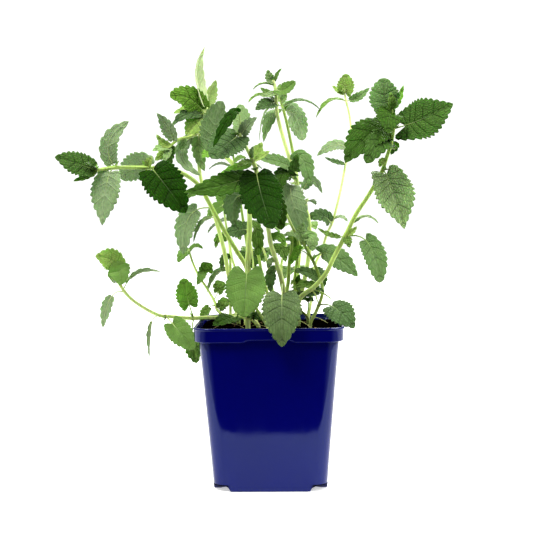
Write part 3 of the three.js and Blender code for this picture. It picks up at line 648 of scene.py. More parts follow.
def strip(path, widths, thickness):
    # A closed flat strip along a path
    up = np.array([0, 0, 1])
    points = []
    for index, place in enumerate(path):
        ahead = path[min(index + 1, len(path) - 1)] - path[max(index - 1, 0)]
        side = unit(np.cross(ahead, up)) * widths[index] / 2
        lift = up * thickness / 2
        points += [place - side - lift, place + side - lift, place + side + lift, place - side + lift]
    faces = [(3, 2, 1, 0)]
    last = (len(path) - 1) * 4
    for first in range(0, last, 4):
        faces += [(first + side, first + (side + 1) % 4, first + 4 + (side + 1) % 4, first + 4 + side)
                  for side in range(4)]
    faces.append((last, last + 1, last + 2, last + 3))
    return points, faces


def makeStraws():
    draw = random.Random(soil["seed"] + 2)
    straws = Cloud("tone")
    for number in range(straw["count"]):
        x, y = soilSpot(draw, straw["reach"])
        long = draw.uniform(*straw["length"]) * draw.uniform(0.5, 1.0)
        turn = draw.uniform(0, math.pi)
        bend = draw.uniform(-straw["bend"], straw["bend"])
        width = draw.uniform(*straw["width"])
        shares = np.linspace(-0.5, 0.5, len(straw["taper"]))
        turns = turn + bend * shares * 2
        flat = np.column_stack([x + np.cos(turns) * long * shares, y + np.sin(turns) * long * shares])
        flat = np.clip(flat, -straw["limit"], straw["limit"])
        heights = soilHeight(flat[:, 0], flat[:, 1])
        heights = np.maximum(np.linspace(heights[0], heights[-1], len(shares)), heights) + straw["lift"]
        widths = width * np.array(straw["taper"])
        points, faces = strip(np.column_stack([flat, heights]), widths, straw["thickness"])
        straws.add(points, faces, tone=(*draw.choice(straw["colours"]), 1))
    seatPiece(straws.piece("strawBits", speckMaterial("straw", straw), smooth=False), "soil")


def makeThreads():
    # Dry pale stems that lie bent over the soil
    threads = Cloud("tone")
    for thick, path in thread["lines"]:
        way = np.array(path, dtype=float)
        gaps = np.linspace(0, len(way) - 1, thread["steps"])
        places = np.stack([np.interp(gaps, range(len(way)), way[:, axis]) for axis in range(3)], axis=-1)
        for smoothing in range(thread["smoothings"]):
            places[1:-1] = (places[:-2] + 2 * places[1:-1] + places[2:]) / 4
        points, faces = tube(places, np.linspace(thick / 2, thick / 3, len(places)))
        threads.add(points, faces, tone=(*thread["colour"], 1))
    seatPiece(threads.piece("dryThreads", speckMaterial("dryStem", thread)), "soil")


makeSoilBed()
makeCrumbs()
makeStraws()
makeThreads()
print("soil laid")

# Plant: the same stems as in the part's source, in mm. A leaf row holds its place along the route, the bend
# and the tip of its midrib, its width, its stalk, the way its upper face looks, the fold of its halves, its
# colour and, where it isn't the common one, the form of its tip. The two stems at the back draw their pairs
# of leaves by a rule.
stems = [
  {"name": "stem_left", "thick": 3.4,
   "route": [[-18, 2, 126], [-16, 1, 144], [-18, -3, 169], [-26, -8, 184], [-35, -15, 200],
             [-45, -24, 220], [-54, -31, 236], [-70, -39, 246], [-92, -46, 248],
             [-114, -52, 248], [-128, -56, 246]],
   "leaves": [
     [10.0, [-139, -60, 251], [-156, -64, 256], 21, 3, [0, -1, 0.8], 0.1, "moss"],
     [9.9, [-133, -59, 240], [-143, -62, 238], 7, 1, [0, -1, 1], 0.4, "green"],
     [10.0, [-130, -62, 251], [-135, -65, 250], 7, 1, [-0.3, -1, 1], 0.3, "deep"],
     [9.0, [-126, -54, 268], [-102, -56, 282], 15, 3, [-0.4, -1, 0.1], 0.12, "grey"],
     [9.1, [-120, -59, 240], [-122, -63, 205], 22, 4, [-0.2, -1, 0.4], 0.1, "grey", "sharp"],
     [7.9, [-97, -38, 254], [-112, -36, 240], 21, 2, [0, 1, 0.3], 0.1, "wan", "round"],
     [7.8, [-83, -55, 245], [-60, -63, 214], 29, 4, [-0.2, -1, 0.8], 0.12, "dark"],
     [7.9, [-89, -49, 252], [-86, -50, 256], 6, 1, [0, -1, 0.6], 0.3, "young"],
   ]},
  {"name": "stem_left_tall", "thick": 3.4,
   "route": [[-26, 20, 124], [-30, 20, 144], [-34, 19, 165], [-37, 18, 183], [-41, 18, 199],
             [-46, 18, 216], [-52, 18, 229], [-56, 20, 246], [-57, 22, 264], [-55, 24, 282],
             [-50, 26, 299]],
   "leaves": [
     [9.9, [-64, 26, 330], [-51, 24, 347], 15, 2, [1, -0.5, 0], 0.42, "pale", "sharp"],
     [9.8, [-50, 35, 307], [-43, 36, 322], 13, 2, [0.4, 0.8, 0], 0.25, "young"],
     [9.7, [-63, 17, 311], [-78, 9, 306], 21, 4, [0, -1, 0.35], 0.12, "grass", "round"],
     [9.4, [-64, 31, 301], [-78, 33, 295], 10, 2, [0, -1, 0.6], 0.2, "young"],
     [9.6, [-67, 13, 297], [-77, 5, 282], 10, 2, [0.1, -1, 0.5], 0.2, "slate", "sharp"],
     [9.5, [-57, 17, 288], [-66, 11, 275], 17, 2, [0, -1, 0.3], 0.1, "young"],
     [8.7, [-59, 19, 266], [-52, 17, 247], 11, 2, [-0.2, -1, 0.2], 0.2, "grain"],
     [7.7, [-49, 11, 264], [-38, 7, 257], 8, 5, [0, -1, 0.4], 0.1, "fresh"],
     [5.1, [-71, 12, 221], [-69, 8, 180], 17, 12, [-0.2, -1, 0.1], 0.12, "grey"],
     [4.6, [-57, 14, 212], [-61, 11, 190], 4, 3, [-0.6, -1, 0.2], 0.2, "grey"],
     [6.0, [-59, 12, 233], [-67, 9, 224], 6, 1, [0, -1, 0.5], 0.2, "soft"],
   ]},
  {"name": "stem_twig", "on": "stem_left_tall", "thick": 2.2,
   "route": [[-55, 24, 280], [-58, 17, 277], [-63, 8, 274], [-70, 0, 272], [-74, -4, 269],
             [-79, -8, 264]],
   "leaves": [
     [4.0, [-75, -6, 279], [-87, -8, 292], 13, 2, [-0.8, -1, 0.2], 0.2, "grey", "sharp"],
     [4.3, [-80, -9, 264], [-87, -11, 275], 6, 1, [-0.5, -1, 0.3], 0.3, "young"],
     [4.1, [-80, -4, 258], [-78, -3, 247], 8, 2, [-0.2, -1, 0.1], 0.2, "moss"],
     [4.9, [-84, -11, 265], [-90, -14, 262], 8, 0, [0, -1, 0.8], 0.3, "grain"],
     [5.0, [-84, -6, 258], [-89, -8, 255], 8, 0, [0, -1, 0.4], 0.3, "young"],
     [4.9, [-78, -13, 258], [-82, -16, 253], 6, 0, [0, -1, 0.4], 0.3, "grain"],
     [1.6, [-82, 6, 259], [-54, 2, 243], 10, 1, [0.3, -1, 0.3], 0.15, "grey"],
     [2.8, [-66, 4, 268], [-72, 4, 264], 6, 1, [0.3, -1, 0.3], 0.2, "ash"],
   ]},
  {"name": "stem_centre", "thick": 3.6,
   "route": [[11, -8, 124], [11, -14, 153], [6, -21, 175], [2, -26, 188], [0, -30, 201],
             [-4, -36, 223], [-9, -40, 247], [-12, -41, 255], [-16, -42, 263], [-21, -43, 273]],
   "leaves": [
     [5.9, [-5, -56, 224], [4, -76, 202], 31, 3, [0.1, -1, 0.5], 0.08, "dark", "round"],
     [5.8, [-29, -53, 233], [-61, -64, 229], 20, 6, [0, -1, 0.6], 0.12, "deep", "sharp"],
     [4.8, [5, -33, 234], [10, -33, 200], 15, 5, [0.2, -1, 0.5], 0.15, "bottle", "round"],
     [6.8, [-9, -33, 258], [-4, -29, 267], 9, 2, [0.3, -1, 0.5], 0.2, "young"],
     [6.7, [-5, -47, 254], [2, -51, 259], 8, 2, [0.1, -1, 0.8], 0.2, "young"],
     [7.0, [-12, -47, 259], [-10, -49, 263], 5, 1, [0, -1, 0.8], 0.2, "grain"],
     [6.5, [-16, -48, 253], [-22, -54, 247], 7, 2, [0, -1, 0.9], 0.2, "green"],
     [6.3, [-22, -36, 249], [-37, -34, 242], 8, 2, [0, -1, 0.7], 0.2, "fresh"],
     [8.9, [-29, -51, 266], [-41, -59, 254], 28, 3, [-0.1, -1, 0.7], 0.15, "slate", "round"],
     [9.0, [-18, -41, 283], [-21, -40, 295], 15, 2, [0.4, 1, 0.2], 0.15, "grain", "round"],
     [8.8, [-14, -49, 280], [-7, -53, 284], 10, 2, [0.2, -1, 0.6], 0.2, "grey", "sharp"],
     [3.3, [7, -31, 200], [13, -35, 188], 8, 2, [0.3, -1, 0.6], 0.15, "fresh"],
     [2.6, [11, -22, 190], [13, -22, 175], 9, 2, [0.4, -1, 0.4], 0.15, "green"],
     [1.7, [0, -15, 171], [1, -15, 151], 9, 2, [-0.3, -1, 0.4], 0.12, "ash"],
     [9.0, [-17, -51, 310], [-39, -65, 262], 9, 17, [-0.4, -1, 0.2], 0.12, "dark"],
     [2.1, [1, -26, 178], [-1, -28, 171], 5, 1, [-0.2, -1, 0.5], 0.2, "grain"],
     [1.2, [10, -67, 158], [10, -65, 114], 29, 32, [0, -1, 0.25], 0.08, "stone"],
   ]},
  {"name": "stem_mid", "thick": 4.1,
   "route": [[-17, -14, 128], [-17, -14, 163], [-16, -14, 184], [-15, -12, 200], [-15, -10, 211],
             [-17, -6, 227], [-22, -2, 242], [-31, 0, 255], [-39, 0, 261], [-44, 0, 265]],
   "leaves": [
     [8.8, [-45, 4, 285], [-36, 10, 302], 22, 2, [-0.3, 1, 0.3], 0.15, "dusk", "round"],
     [3.0, [-24, -4, 201], [-37, -2, 196], 13, 2, [-0.1, -1, 0.5], 0.12, "slate", "sharp"],
     [3.3, [-8, -1, 205], [-9, 1, 179], 11, 2, [0.3, -1, 0.5], 0.12, "green", "round"],
     [1.6, [-17, -30, 168], [-19, -40, 134], 31, 15, [0, -1, 0.35], 0.08, "soft", "round"],
     [6.7, [-24, -7, 258], [-17, -9, 256], 6, 2, [0, -1, 0.8], 0.2, "soft"],
     [6.4, [-32, -9, 247], [-36, -13, 240], 6, 2, [-0.2, -1, 0.8], 0.2, "fresh"],
     [5.0, [-32, -4, 230], [-27, -4, 203], 16, 3, [-0.5, 0.9, 0.2], 0.12, "slate"],
   ]},
  {"name": "stem_top", "thick": 3.7,
   "route": [[18, 14, 124], [26, 15, 150], [32, 16, 182], [31, 17, 210], [25, 18, 225],
             [22, 19, 239], [20, 19, 247], [16, 20, 259], [10, 21, 280], [7, 22, 294],
             [6, 22, 312], [4, 22, 320]],
   "leaves": [
     [10.9, [1, 20, 320], [0, 20, 328], 7, 0, [-0.2, -1, 0.3], 0.4, "grain"],
     [10.7, [6, 22, 325], [11, 22, 329], 3, 1, [0.3, -1, 0.2], 0.4, "soft"],
     [10.0, [11, 18, 308], [22, 16, 318], 11, 2, [0.2, -1, 0.6], 0.2, "soft", "round"],
     [10.4, [-5, 19, 320], [-12, 17, 312], 4, 1, [0, -0.3, 1], 0.3, "green"],
     [9.8, [-1, 16, 308], [-6, 14, 313], 6, 1, [0, -1, 0.6], 0.2, "soft"],
     [9.9, [0, 12, 305], [-6, 7, 306], 6, 1, [0, -1, 0.7], 0.2, "grain"],
     [9.5, [-7, 22, 314], [-16, 20, 302], 6, 2, [0, -0.5, 1], 0.25, "green"],
     [9.4, [0, 16, 302], [-10, 10, 295], 13, 2, [0, -1, 0.8], 0.15, "slate"],
     [6.1, [8, 9, 256], [-6, -1, 255], 13, 2, [0.1, -1, 0.7], 0.15, "ash", "round"],
     [5.6, [19, 1, 245], [23, -5, 259], 9, 3, [0, -1, 0.3], 0.15, "moss", "round"],
     [6.4, [29, 15, 268], [32, 9, 235], 14, 4, [0.2, -1, 0.4], 0.12, "ash"],
     [5.0, [10, 7, 254], [8, -1, 230], 14, 7, [-0.2, -1, 0.5], 0.12, "deep", "round"],
     [4.9, [10, -1, 236], [30, 0, 193], 20, 10, [-0.1, -1, 0.35], 0.1, "grey"],
     [4.1, [35, 22, 250], [43, 22, 228], 8, 6, [0.3, -1, 0.5], 0.2, "grey", "sharp"],
     [3.3, [27, 13, 220], [32, 11, 224], 5, 1, [0, -1, 0.5], 0.3, "pale"],
   ]},
  {"name": "stem_top_behind", "thick": 3.0,
   "route": [[17, 26, 123], [21, 29, 149], [25, 34, 190], [24, 38, 223], [22, 41, 248],
             [20, 42, 260], [16, 43, 281], [12, 44, 298], [9, 44, 307]],
   "leaves": [
     [7.3, [28, 46, 312], [42, 44, 298], 7, 3, [0, -0.4, 1], 0.15, "moss", "sharp"],
     [6.9, [21, 54, 303], [28, 56, 273], 18, 3, [0.3, -1, 0.3], 0.12, "wan", "round"],
     [7.7, [13, 40, 307], [15, 38, 310], 6, 1, [0.3, -1, 0.5], 0.3, "grain"],
     [7.0, [1, 26, 299], [-4, 18, 270], 13, 3, [-0.6, -1, 0.3], 0.15, "ash", "sharp"],
     [7.3, [-6, 50, 307], [-8, 50, 273], 5, 3, [-1, -0.3, 0.4], 0.2, "grey"],
     [7.7, [6, 50, 313], [10, 52, 320], 7, 2, [0.2, 1, 0.3], 0.2, "green"],
   ]},
  {"name": "stem_slim", "thick": 2.3,
   "route": [[31, 24, 125], [35, 29, 149], [37, 33, 169], [43, 36, 182], [47, 38, 194],
             [52, 40, 205], [58, 43, 227], [63, 46, 250], [68, 49, 278], [67, 50, 293],
             [64, 50, 306], [63, 50, 312]],
   "leaves": [
     [10.9, [64, 47, 315], [64, 46, 327], 14, 1, [0, -1, 0.5], 0.15, "young", "round"],
     [10.7, [59, 52, 312], [53, 53, 318], 5, 1, [0, -1, 0.8], 0.3, "young"],
     [9.9, [49, 48, 312], [39, 44, 291], 6, 2, [0, -0.4, 1], 0.2, "green", "sharp"],
     [9.9, [74, 53, 306], [84, 54, 316], 8, 3, [0, -1, 0.7], 0.25, "ash"],
     [4.8, [46, 32, 215], [30, 28, 207], 13, 3, [0, -1, 0.7], 0.12, "slate"],
     [5.1, [59, 37, 212], [64, 34, 205], 5, 1, [0, -0.6, 1], 0.2, "grey"],
     [7.5, [56, 53, 275], [40, 54, 260], 10, 3, [0, -1, 0.6], 0.15, "wan"],
     [7.1, [55, 42, 253], [46, 40, 258], 5, 1, [0, -1, 0.8], 0.2, "slate"],
   ]},
  {"name": "stem_right", "thick": 3.6,
   "route": [[19, -16, 124], [24, -16, 146], [35, -17, 155], [44, -18, 165], [51, -20, 179],
             [59, -22, 194], [68, -24, 212], [76, -26, 224], [87, -29, 243], [90, -30, 252],
             [94, -31, 265], [96, -31, 279], [94, -31, 292]],
   "leaves": [
     [11.9, [87, -35, 297], [89, -35, 314], 23, 2, [-0.2, -1, 0.5], 0.15, "ash", "round"],
     [11.9, [94, -39, 296], [93, -39, 303], 7, 1, [0.1, -1, 0.3], 0.35, "green"],
     [11.9, [99, -28, 296], [104, -28, 309], 6, 1, [0.4, -1, 0.3], 0.35, "fresh"],
     [11.4, [91, -45, 292], [90, -55, 271], 20, 2, [0, -1, 0.5], 0.12, "deep"],
     [10.8, [115, -39, 280], [140, -39, 294], 33, 9, [0.1, -1, 0.6], 0.12, "moss", "sharp"],
     [10.4, [83, -43, 285], [58, -53, 250], 29, 7, [-0.3, -1, 0.7], 0.12, "deep"],
     [10.1, [85, -55, 273], [73, -63, 249], 18, 3, [0.1, -1, 0.3], 0.12, "moss", "round"],
     [9.9, [100, -21, 267], [95, -19, 257], 8, 2, [0, -1, 0.5], 0.15, "moss"],
     [8.9, [87, -33, 254], [85, -35, 247], 5, 1, [0, -1, 0.5], 0.3, "young"],
     [8.2, [93, -39, 239], [103, -43, 200], 30, 5, [0.2, -1, 0.4], 0.12, "quilted", "sharp"],
     [5.0, [48, -25, 193], [38, -27, 201], 5, 3, [0, -1, 0.9], 0.2, "green"],
     [5.1, [64, -25, 196], [68, -26, 202], 5, 1, [0, -1, 0.6], 0.3, "young"],
     [5.0, [61, -28, 192], [62, -31, 186], 7, 1, [0, -1, 0.6], 0.2, "green"],
     [5.0, [81, -28, 202], [85, -34, 159], 18, 17, [0.2, -1, 0.4], 0.12, "ash", "round"],
     [5.5, [76, -19, 216], [85, -21, 204], 5, 3, [0, -0.4, 1], 0.2, "wan"],
   ]},
  {"name": "stem_dark", "thick": 2.7,
   "route": [[32, -14, 126], [37, -12, 136], [41, -9, 146], [42, -7, 152], [40, -6, 161],
             [35, -8, 174], [29, -10, 185], [25, -12, 193]],
   "leaves": [
     [5.1, [43, -6, 191], [70, -3, 162], 19, 9, [0.2, -1, 0.7], 0.12, "ash"],
     [5.1, [22, -6, 193], [17, -6, 172], 9, 13, [-0.3, -1, 0.5], 0.2, "fresh"],
     [6.2, [34, -14, 201], [34, -18, 183], 12, 2, [0.3, -1, 0.4], 0.15, "grain"],
     [6.6, [18, -19, 200], [10, -23, 194], 7, 2, [0, -0.8, 1], 0.15, "grain"],
     [7.0, [24, -10, 199], [28, -10, 205], 7, 1, [0, -1, 0.5], 0.3, "grain"],
     [3.9, [31, -8, 168], [20, -10, 167], 10, 2, [-0.1, -0.9, 0.8], 0.12, "ash", "round"],
     [3.3, [30, -10, 158], [17, -12, 154], 7, 2, [-0.1, -0.9, 0.8], 0.12, "green"],
     [2.5, [29, -8, 150], [15, -8, 146], 6, 2, [0, -0.9, 0.8], 0.12, "slate"],
     [1.4, [50, -41, 147], [65, -41, 125], 21, 21, [0.1, -1, 0.7], 0.1, "slate"],
   ]},
  {"name": "stem_runner", "thick": 3.3,
   "route": [[-9, -4, 123], [-16, -4, 130], [-28, -3, 130], [-40, -2, 130], [-51, -2, 130],
             [-63, -5, 130], [-79, -10, 132], [-86, -13, 133], [-94, -16, 137], [-101, -20, 142],
             [-107, -23, 147], [-112, -25, 153], [-117, -28, 162]],
   "leaves": [
     [11.0, [-124, -29, 158], [-128, -33, 126], 9, 11, [-0.3, -1, 0.3], 0.15, "grey"],
     [11.2, [-105, -23, 174], [-84, -23, 168], 5, 10, [0, -0.8, 1], 0.2, "wan", "sharp"],
     [12.0, [-112, -30, 180], [-133, -32, 181], 17, 11, [-0.1, -1, 0.3], 0.12, "young"],
     [11.6, [-115, -39, 180], [-111, -45, 160], 18, 6, [0, -1, 0.6], 0.12, "soft", "round"],
     [7.0, [-96, -17, 136], [-94, -21, 101], 5, 9, [-0.8, -0.8, 0.2], 0.2, "grey"],
     [6.3, [-73, -23, 125], [-58, -29, 108], 19, 9, [-0.1, -1, 0.5], 0.12, "soft", "round"],
     [4.8, [-63, -10, 120], [-58, -12, 95], 15, 13, [-0.2, -1, 0.3], 0.1, "green", "round"],
     [4.8, [-64, -8, 140], [-68, -8, 162], 17, 11, [0, -1, 0.5], 0.12, "fresh", "round"],
     [1.9, [-30, -19, 133], [-44, -23, 126], 15, 3, [0, -0.8, 1], 0.1, "deep"],
   ]},
  {"name": "stem_low_left", "thick": 2.2,
   "route": [[-20, 12, 125], [-19, 12, 129], [-25, 14, 131], [-36, 15, 130], [-43, 18, 134],
             [-45, 20, 140], [-52, 24, 152], [-57, 26, 159], [-63, 29, 171], [-67, 31, 183]],
   "leaves": [
     [8.9, [-61, 29, 189], [-55, 27, 184], 6, 1, [0, -0.7, 1], 0.2, "soft"],
     [8.9, [-70, 26, 184], [-75, 23, 173], 9, 1, [-0.2, -1, 0.6], 0.2, "soft"],
     [7.1, [-53, 20, 167], [-59, 16, 155], 7, 2, [0.2, -1, 0.5], 0.2, "soft"],
     [7.0, [-52, 28, 178], [-48, 28, 163], 8, 3, [0.2, -1, 0.5], 0.15, "green", "round"],
     [4.7, [-53, 15, 138], [-55, 13, 126], 8, 6, [-0.2, -1, 0.6], 0.2, "green"],
     [4.0, [-32, 14, 147], [-40, 10, 135], 9, 2, [0.2, -1, 0.5], 0.15, "green"],
     [5.2, [-36, 25, 160], [-47, 25, 152], 9, 7, [0, -1, 0.6], 0.2, "green"],
   ]},
  {"name": "stem_inner_left", "thick": 2.4,
   "route": [[-33, 30, 123], [-33, 33, 145], [-33, 38, 170], [-34, 42, 189], [-37, 46, 205],
             [-39, 50, 220]],
   "leaves": [
     [2.2, [-38, 35, 181], [-40, 31, 167], 7, 2, [-0.3, -1, 0.4], 0.2, "dusk"],
     [3.0, [-43, 40, 200], [-45, 38, 184], 7, 2, [-0.3, -1, 0.5], 0.2, "green"],
     [1.8, [-46, 33, 171], [-52, 29, 148], 5, 2, [-0.4, -1, 0.5], 0.2, "grey"],
     [3.2, [-29, 49, 202], [-25, 51, 190], 8, 3, [0.2, -1, 0.5], 0.2, "green"],
     [4.9, [-44, 46, 219], [-52, 44, 209], 12, 2, [-0.2, -1, 0.6], 0.15, "soft"],
     [4.9, [-40, 54, 227], [-45, 56, 236], 10, 2, [0.1, -1, 0.4], 0.2, "soft"],
   ]},
  {"name": "stem_inner_right", "thick": 2.8,
   "route": [[23, 4, 127], [21, 4, 143], [20, 3, 158], [22, 0, 174], [23, -5, 191],
             [18, -12, 203], [14, -16, 212]],
   "leaves": [
     [3.7, [18, -6, 195], [13, -8, 191], 7, 2, [-0.2, -1, 0.6], 0.15, "green"],
     [3.3, [17, 1, 187], [9, 3, 180], 7, 2, [-0.2, -1, 0.5], 0.2, "green"],
   ]},
  {"name": "stem_back_left", "thick": 2.6, "seed": 11, "pairs": 5, "size": 36, "turn": 1.5,
   "route": [[-14, 44, 123], [-16, 56, 150], [-20, 70, 182], [-25, 82, 214], [-30, 91, 246],
             [-33, 96, 266]]},
  {"name": "stem_back_right", "thick": 2.6, "seed": 35, "pairs": 5, "size": 33, "turn": 2.2,
   "route": [[20, 42, 123], [22, 54, 148], [23, 68, 178], [24, 80, 208], [24, 88, 236]]},
]

# Thin shoots and small leaves between the stems, in the same form. Only this model has them.
innerShoots = [
    {"name": "pale", "thick": 2.1, "route": [[-20, 24, 122], [-25, 25, 142], [-28, 26, 165],
     [-31, 27, 176], [-33, 28, 187], [-36, 30, 197]]},
    {"name": "pale", "thick": 1.8, "route": [[-11, 18, 123], [-11, 18, 142], [-13, 19, 165],
     [-14, 20, 176], [-15, 21, 186], [-17, 22, 194]],
     "leaves": [
      [2.7, [-18, 17, 176], [-22, 15, 173], 4, 0.8, [0, -1, 0.6], 0.2, "deep"],
     ]},
    {"name": "green", "thick": 2.7, "route": [[1, 14, 123], [0, 14, 139], [-4, 14, 155],
     [-7, 15, 167], [-9, 16, 178], [-13, 17, 189], [-17, 18, 197]],
     "leaves": [
      [4.3, [-5, 12, 183], [-1, 10, 181], 4, 0.8, [0, -1, 0.6], 0.2, "slate"],
     ]},
    {"name": "pale", "thick": 2.1, "route": [[6, 8, 123], [5, 8, 136], [2, 8, 153], [0, 9, 164],
     [-2, 10, 174], [-5, 11, 184], [-9, 12, 193]],
     "leaves": [
      [3.6, [2, 7, 177], [-1, 5, 169], 4, 0.8, [0, -1, 0.3], 0.2, "slate"],
     ]},
    {"name": "green", "thick": 3.0, "route": [[13, -1, 124], [13, -2, 144], [15, -3, 159],
     [16, -4, 174], [18, -5, 187], [18, -6, 199]]},
    {"name": "pale", "thick": 2.4, "route": [[12, 22, 122], [11, 22, 142], [11, 22, 155],
     [9, 22, 166], [11, 22, 178], [14, 23, 188]]},
    {"name": "green", "thick": 2.6, "route": [[0, -30, 122], [-2, -29, 127], [-6, -26, 133],
     [-11, -22, 141], [-15, -17, 150]]},
    {"name": "green", "thick": 1.3, "route": [[30, 4, 125], [30, 4, 131], [31, 4, 137],
     [31, 3, 143]],
     "leaves": [
      [2.9, [27, 0, 146], [25, -2, 143], 4, 0.4, [0, -1, 0.7], 0.2, "deep"],
      [2.9, [32, 1, 146], [35, 0, 142], 4, 0.4, [0, -1, 0.7], 0.2, "slate"],
     ]},
    {"name": "dark", "thick": 1.9, "route": [[31, 0, 125], [30, -1, 130], [26, -3, 134],
     [23, -6, 138], [21, -8, 144]]},
    {"name": "green", "thick": 1.2, "route": [[32, -16, 152], [35, -17, 153], [40, -18, 151],
     [44, -19, 149], [48, -20, 146]],
     "leaves": [
      [1.3, [39, -19, 155], [43, -21, 151], 3, 0.4, [0, -1, 0.6], 0.25, "slate"],
     ]},
    {"name": "green", "thick": 1.2, "route": [[34, -16, 152], [36, -17, 149], [37, -18, 146],
     [38, -19, 143]]},
    {"name": "green", "thick": 1.6, "route": [[24, 6, 146], [23, 4, 150], [21, 2, 154],
     [22, 0, 158]],
     "leaves": [
      [2.8, [19, -4, 160], [17, -7, 156], 4, 0.4, [0, -1, 0.7], 0.25, "young"],
      [2.8, [25, -4, 160], [27, -7, 157], 4, 0.4, [0, -1, 0.7], 0.25, "young"],
      [3.0, [23, -3, 161], [24, -4, 164], 4, 0.4, [0, -1, 0.4], 0.25, "soft"],
      [2.5, [23, -5, 153], [25, -8, 149], 3, 0.4, [0, -1, 0.4], 0.25, "wan"],
      [2.8, [27, -8, 157], [34, -11, 154], 6, 0.8, [0, -1, 0.8], 0.15, "deep"],
      [0.4, [19, 1, 150], [13, -1, 146], 6, 0.8, [0, -1, 0.6], 0.15, "deep"],
     ]},
    {"name": "green", "thick": 1.4, "route": [[-16, -12, 126], [-15, -12, 129], [-12, -12, 132]],
     "leaves": [
      [1.7, [-10, -15, 135], [-6, -18, 129], 8, 0.4, [0, -1, 0.7], 0.1, "moss"],
      [1.7, [-15, -15, 134], [-17, -18, 131], 5, 0.4, [0, -1, 0.7], 0.1, "moss"],
     ]},
]

plant = {    # mm
    "soilTop": 120.4,
    "stemFoot": 108.7,    # how deep the stems stand in the soil
    "stemThinning": 0.36,
    "rootOffset": 0.22,
    "stemRing": 1.6,    # distance between rings of a stem
    "stemSides": 20,
    "stemCorner": 0.62,    # how round the square stem is, from 0, sharp, to 1, round
    "stemGroove": 0.05,
    "nodeSwelling": 0.12,
    "nodeLength": 0.16,
    "nodeWidth": 7,    # a leaf wider than this makes its stem swell
    "tinyWidth": 5,
    "smallWidth": 11.0,
    "stalkRadius": 0.5,
    "smallStalkRadius": 0.36,
    "bladeThickness": 0.42,
    "edgeThickness": 0.24,
    "archBias": 0.62,
    "archFullness": 0.58,
    "round": (-0.08, 0.06),    # how much more a tip narrows than the base
    "even": (0.12, 0.28),
    "sharp": (0.34, 0.5),
    "lobe": 0.24,
    "veinSweep": 0.72,
    "veinsPerTooth": 0.48,
    "teeth": (3.4, 0.34),    # on the narrowest leaf, and more for each mm of width
    "toothDepth": 1.35,
    "toothLean": 0.024,
    "rowsPerTooth": {"large": 6, "small": 4, "tiny": 3},
    "columns": [0, 0.05, 0.13, 0.25, 0.38, 0.52, 0.66, 0.79, 0.9, 1.0],
    "tinyColumns": [0, 0.13, 0.38, 0.66, 0.9, 1.0],
    "quilt": 0.019,    # height of the bulges between veins, as a share of the leaf's width
    "curl": 0.1,
    "wave": 0.045,
    "ribEnd": 0.86,
    "ribFade": 0.6,    # the midrib's colour is lost towards the tip
    "shades": (0.86, 1.14),
    "seed": 100,
    "shootSeed": 61,
}

# Colours of the upper face, as linear red, green and blue. They are partly the leaves' own colours and
# partly painted light: leaves that lie in shade were given lighter colours and brightly lit ones darker
# colours
leafColours = {
    "dark": (0.015, 0.056, 0.0006),
    "bottle": (0.036, 0.082, 0.007),
    "deep": (0.047, 0.104, 0.014),
    "moss": (0.069, 0.138, 0.028),
    "dusk": (0.09, 0.152, 0.048),
    "green": (0.172, 0.284, 0.067),
    "grass": (0.112, 0.213, 0.03),
    "slate": (0.088, 0.15, 0.056),
    "stone": (0.098, 0.146, 0.058),
    "ash": (0.144, 0.228, 0.086),
    "grain": (0.232, 0.335, 0.136),
    "quilted": (0.25, 0.345, 0.15),
    "soft": (0.132, 0.225, 0.058),
    "grey": (0.19, 0.262, 0.13),
    "wan": (0.275, 0.36, 0.195),
    "fresh": (0.19, 0.36, 0.06),
    "young": (0.272, 0.38, 0.104),
    "pale": (0.53, 0.6, 0.34),
}
smoothness = {    # below 1, lower teeth and relief
    "soft": 0.32, "grey": 0.95, "wan": 0.85, "pale": 0.5, "slate": 0.95, "ash": 0.7, "grain": 0.8,
    "young": 0.6, "fresh": 0.75, "stone": 0.8,
}
paleUnder = ("grey", "wan")    # leaves that show their underside: the net of veins stands out

# The pale colours are partly the stems' own and partly painted light, standing in for light that shines
# through the lower stems
stemColours = {
    "foot": (0.68, 0.8, 0.3),
    "middle": (0.47, 0.67, 0.14),
    "tip": (0.34, 0.5, 0.11),
    "dark": (0.12, 0.13, 0.04),
    "pale": (0.86, 0.98, 0.44),
}
stemTones = {    # how far a stem's colour goes to pale, below 0, or to dark; the pale side is partly painted light, lifting stems that lie in shade
    "stem_left": -0.12, "stem_left_tall": -0.5, "stem_twig": 0.2, "stem_centre": -0.55, "stem_mid": -0.35,
    "stem_top": -0.65, "stem_top_behind": -0.15, "stem_slim": -0.85, "stem_right": -0.15, "stem_dark": 0.35,
    "stem_runner": -0.6, "stem_low_left": -0.5, "stem_inner_left": -0.5, "stem_inner_right": -0.4,
    "pale": -0.8, "green": -0.15, "dark": 0.6,    # the inner shoots
}

backPairs = {    # shares of the route or of a leaf's reach
    "lowest": 0.36,
    "tipSize": 0.42,
    "shrinkPower": 1.5,
    "turnSpread": 0.6,
    "reach": (0.9, 1.1),
    "rise": (0.45, 0.2),
    "drop": (0.5, -0.15),
    "dropSpread": (0.7, 1.2),
    "elbow": 0.55,
    "width": 0.68,
    "stalk": 0.22,
    "tilt": 0.3,
    "fold": 0.12,
    "colours": ["green", "deep", "slate", "soft", "green"],
}


def mix(start, end, share):
    return start + (end - start) * share


def seededDraws(seed):
    # The part's own generator, so that both models draw the same leaves
    multiplier, modulus = 16807, 2147483647
    while True:
        seed = seed * multiplier % modulus
        yield seed / modulus


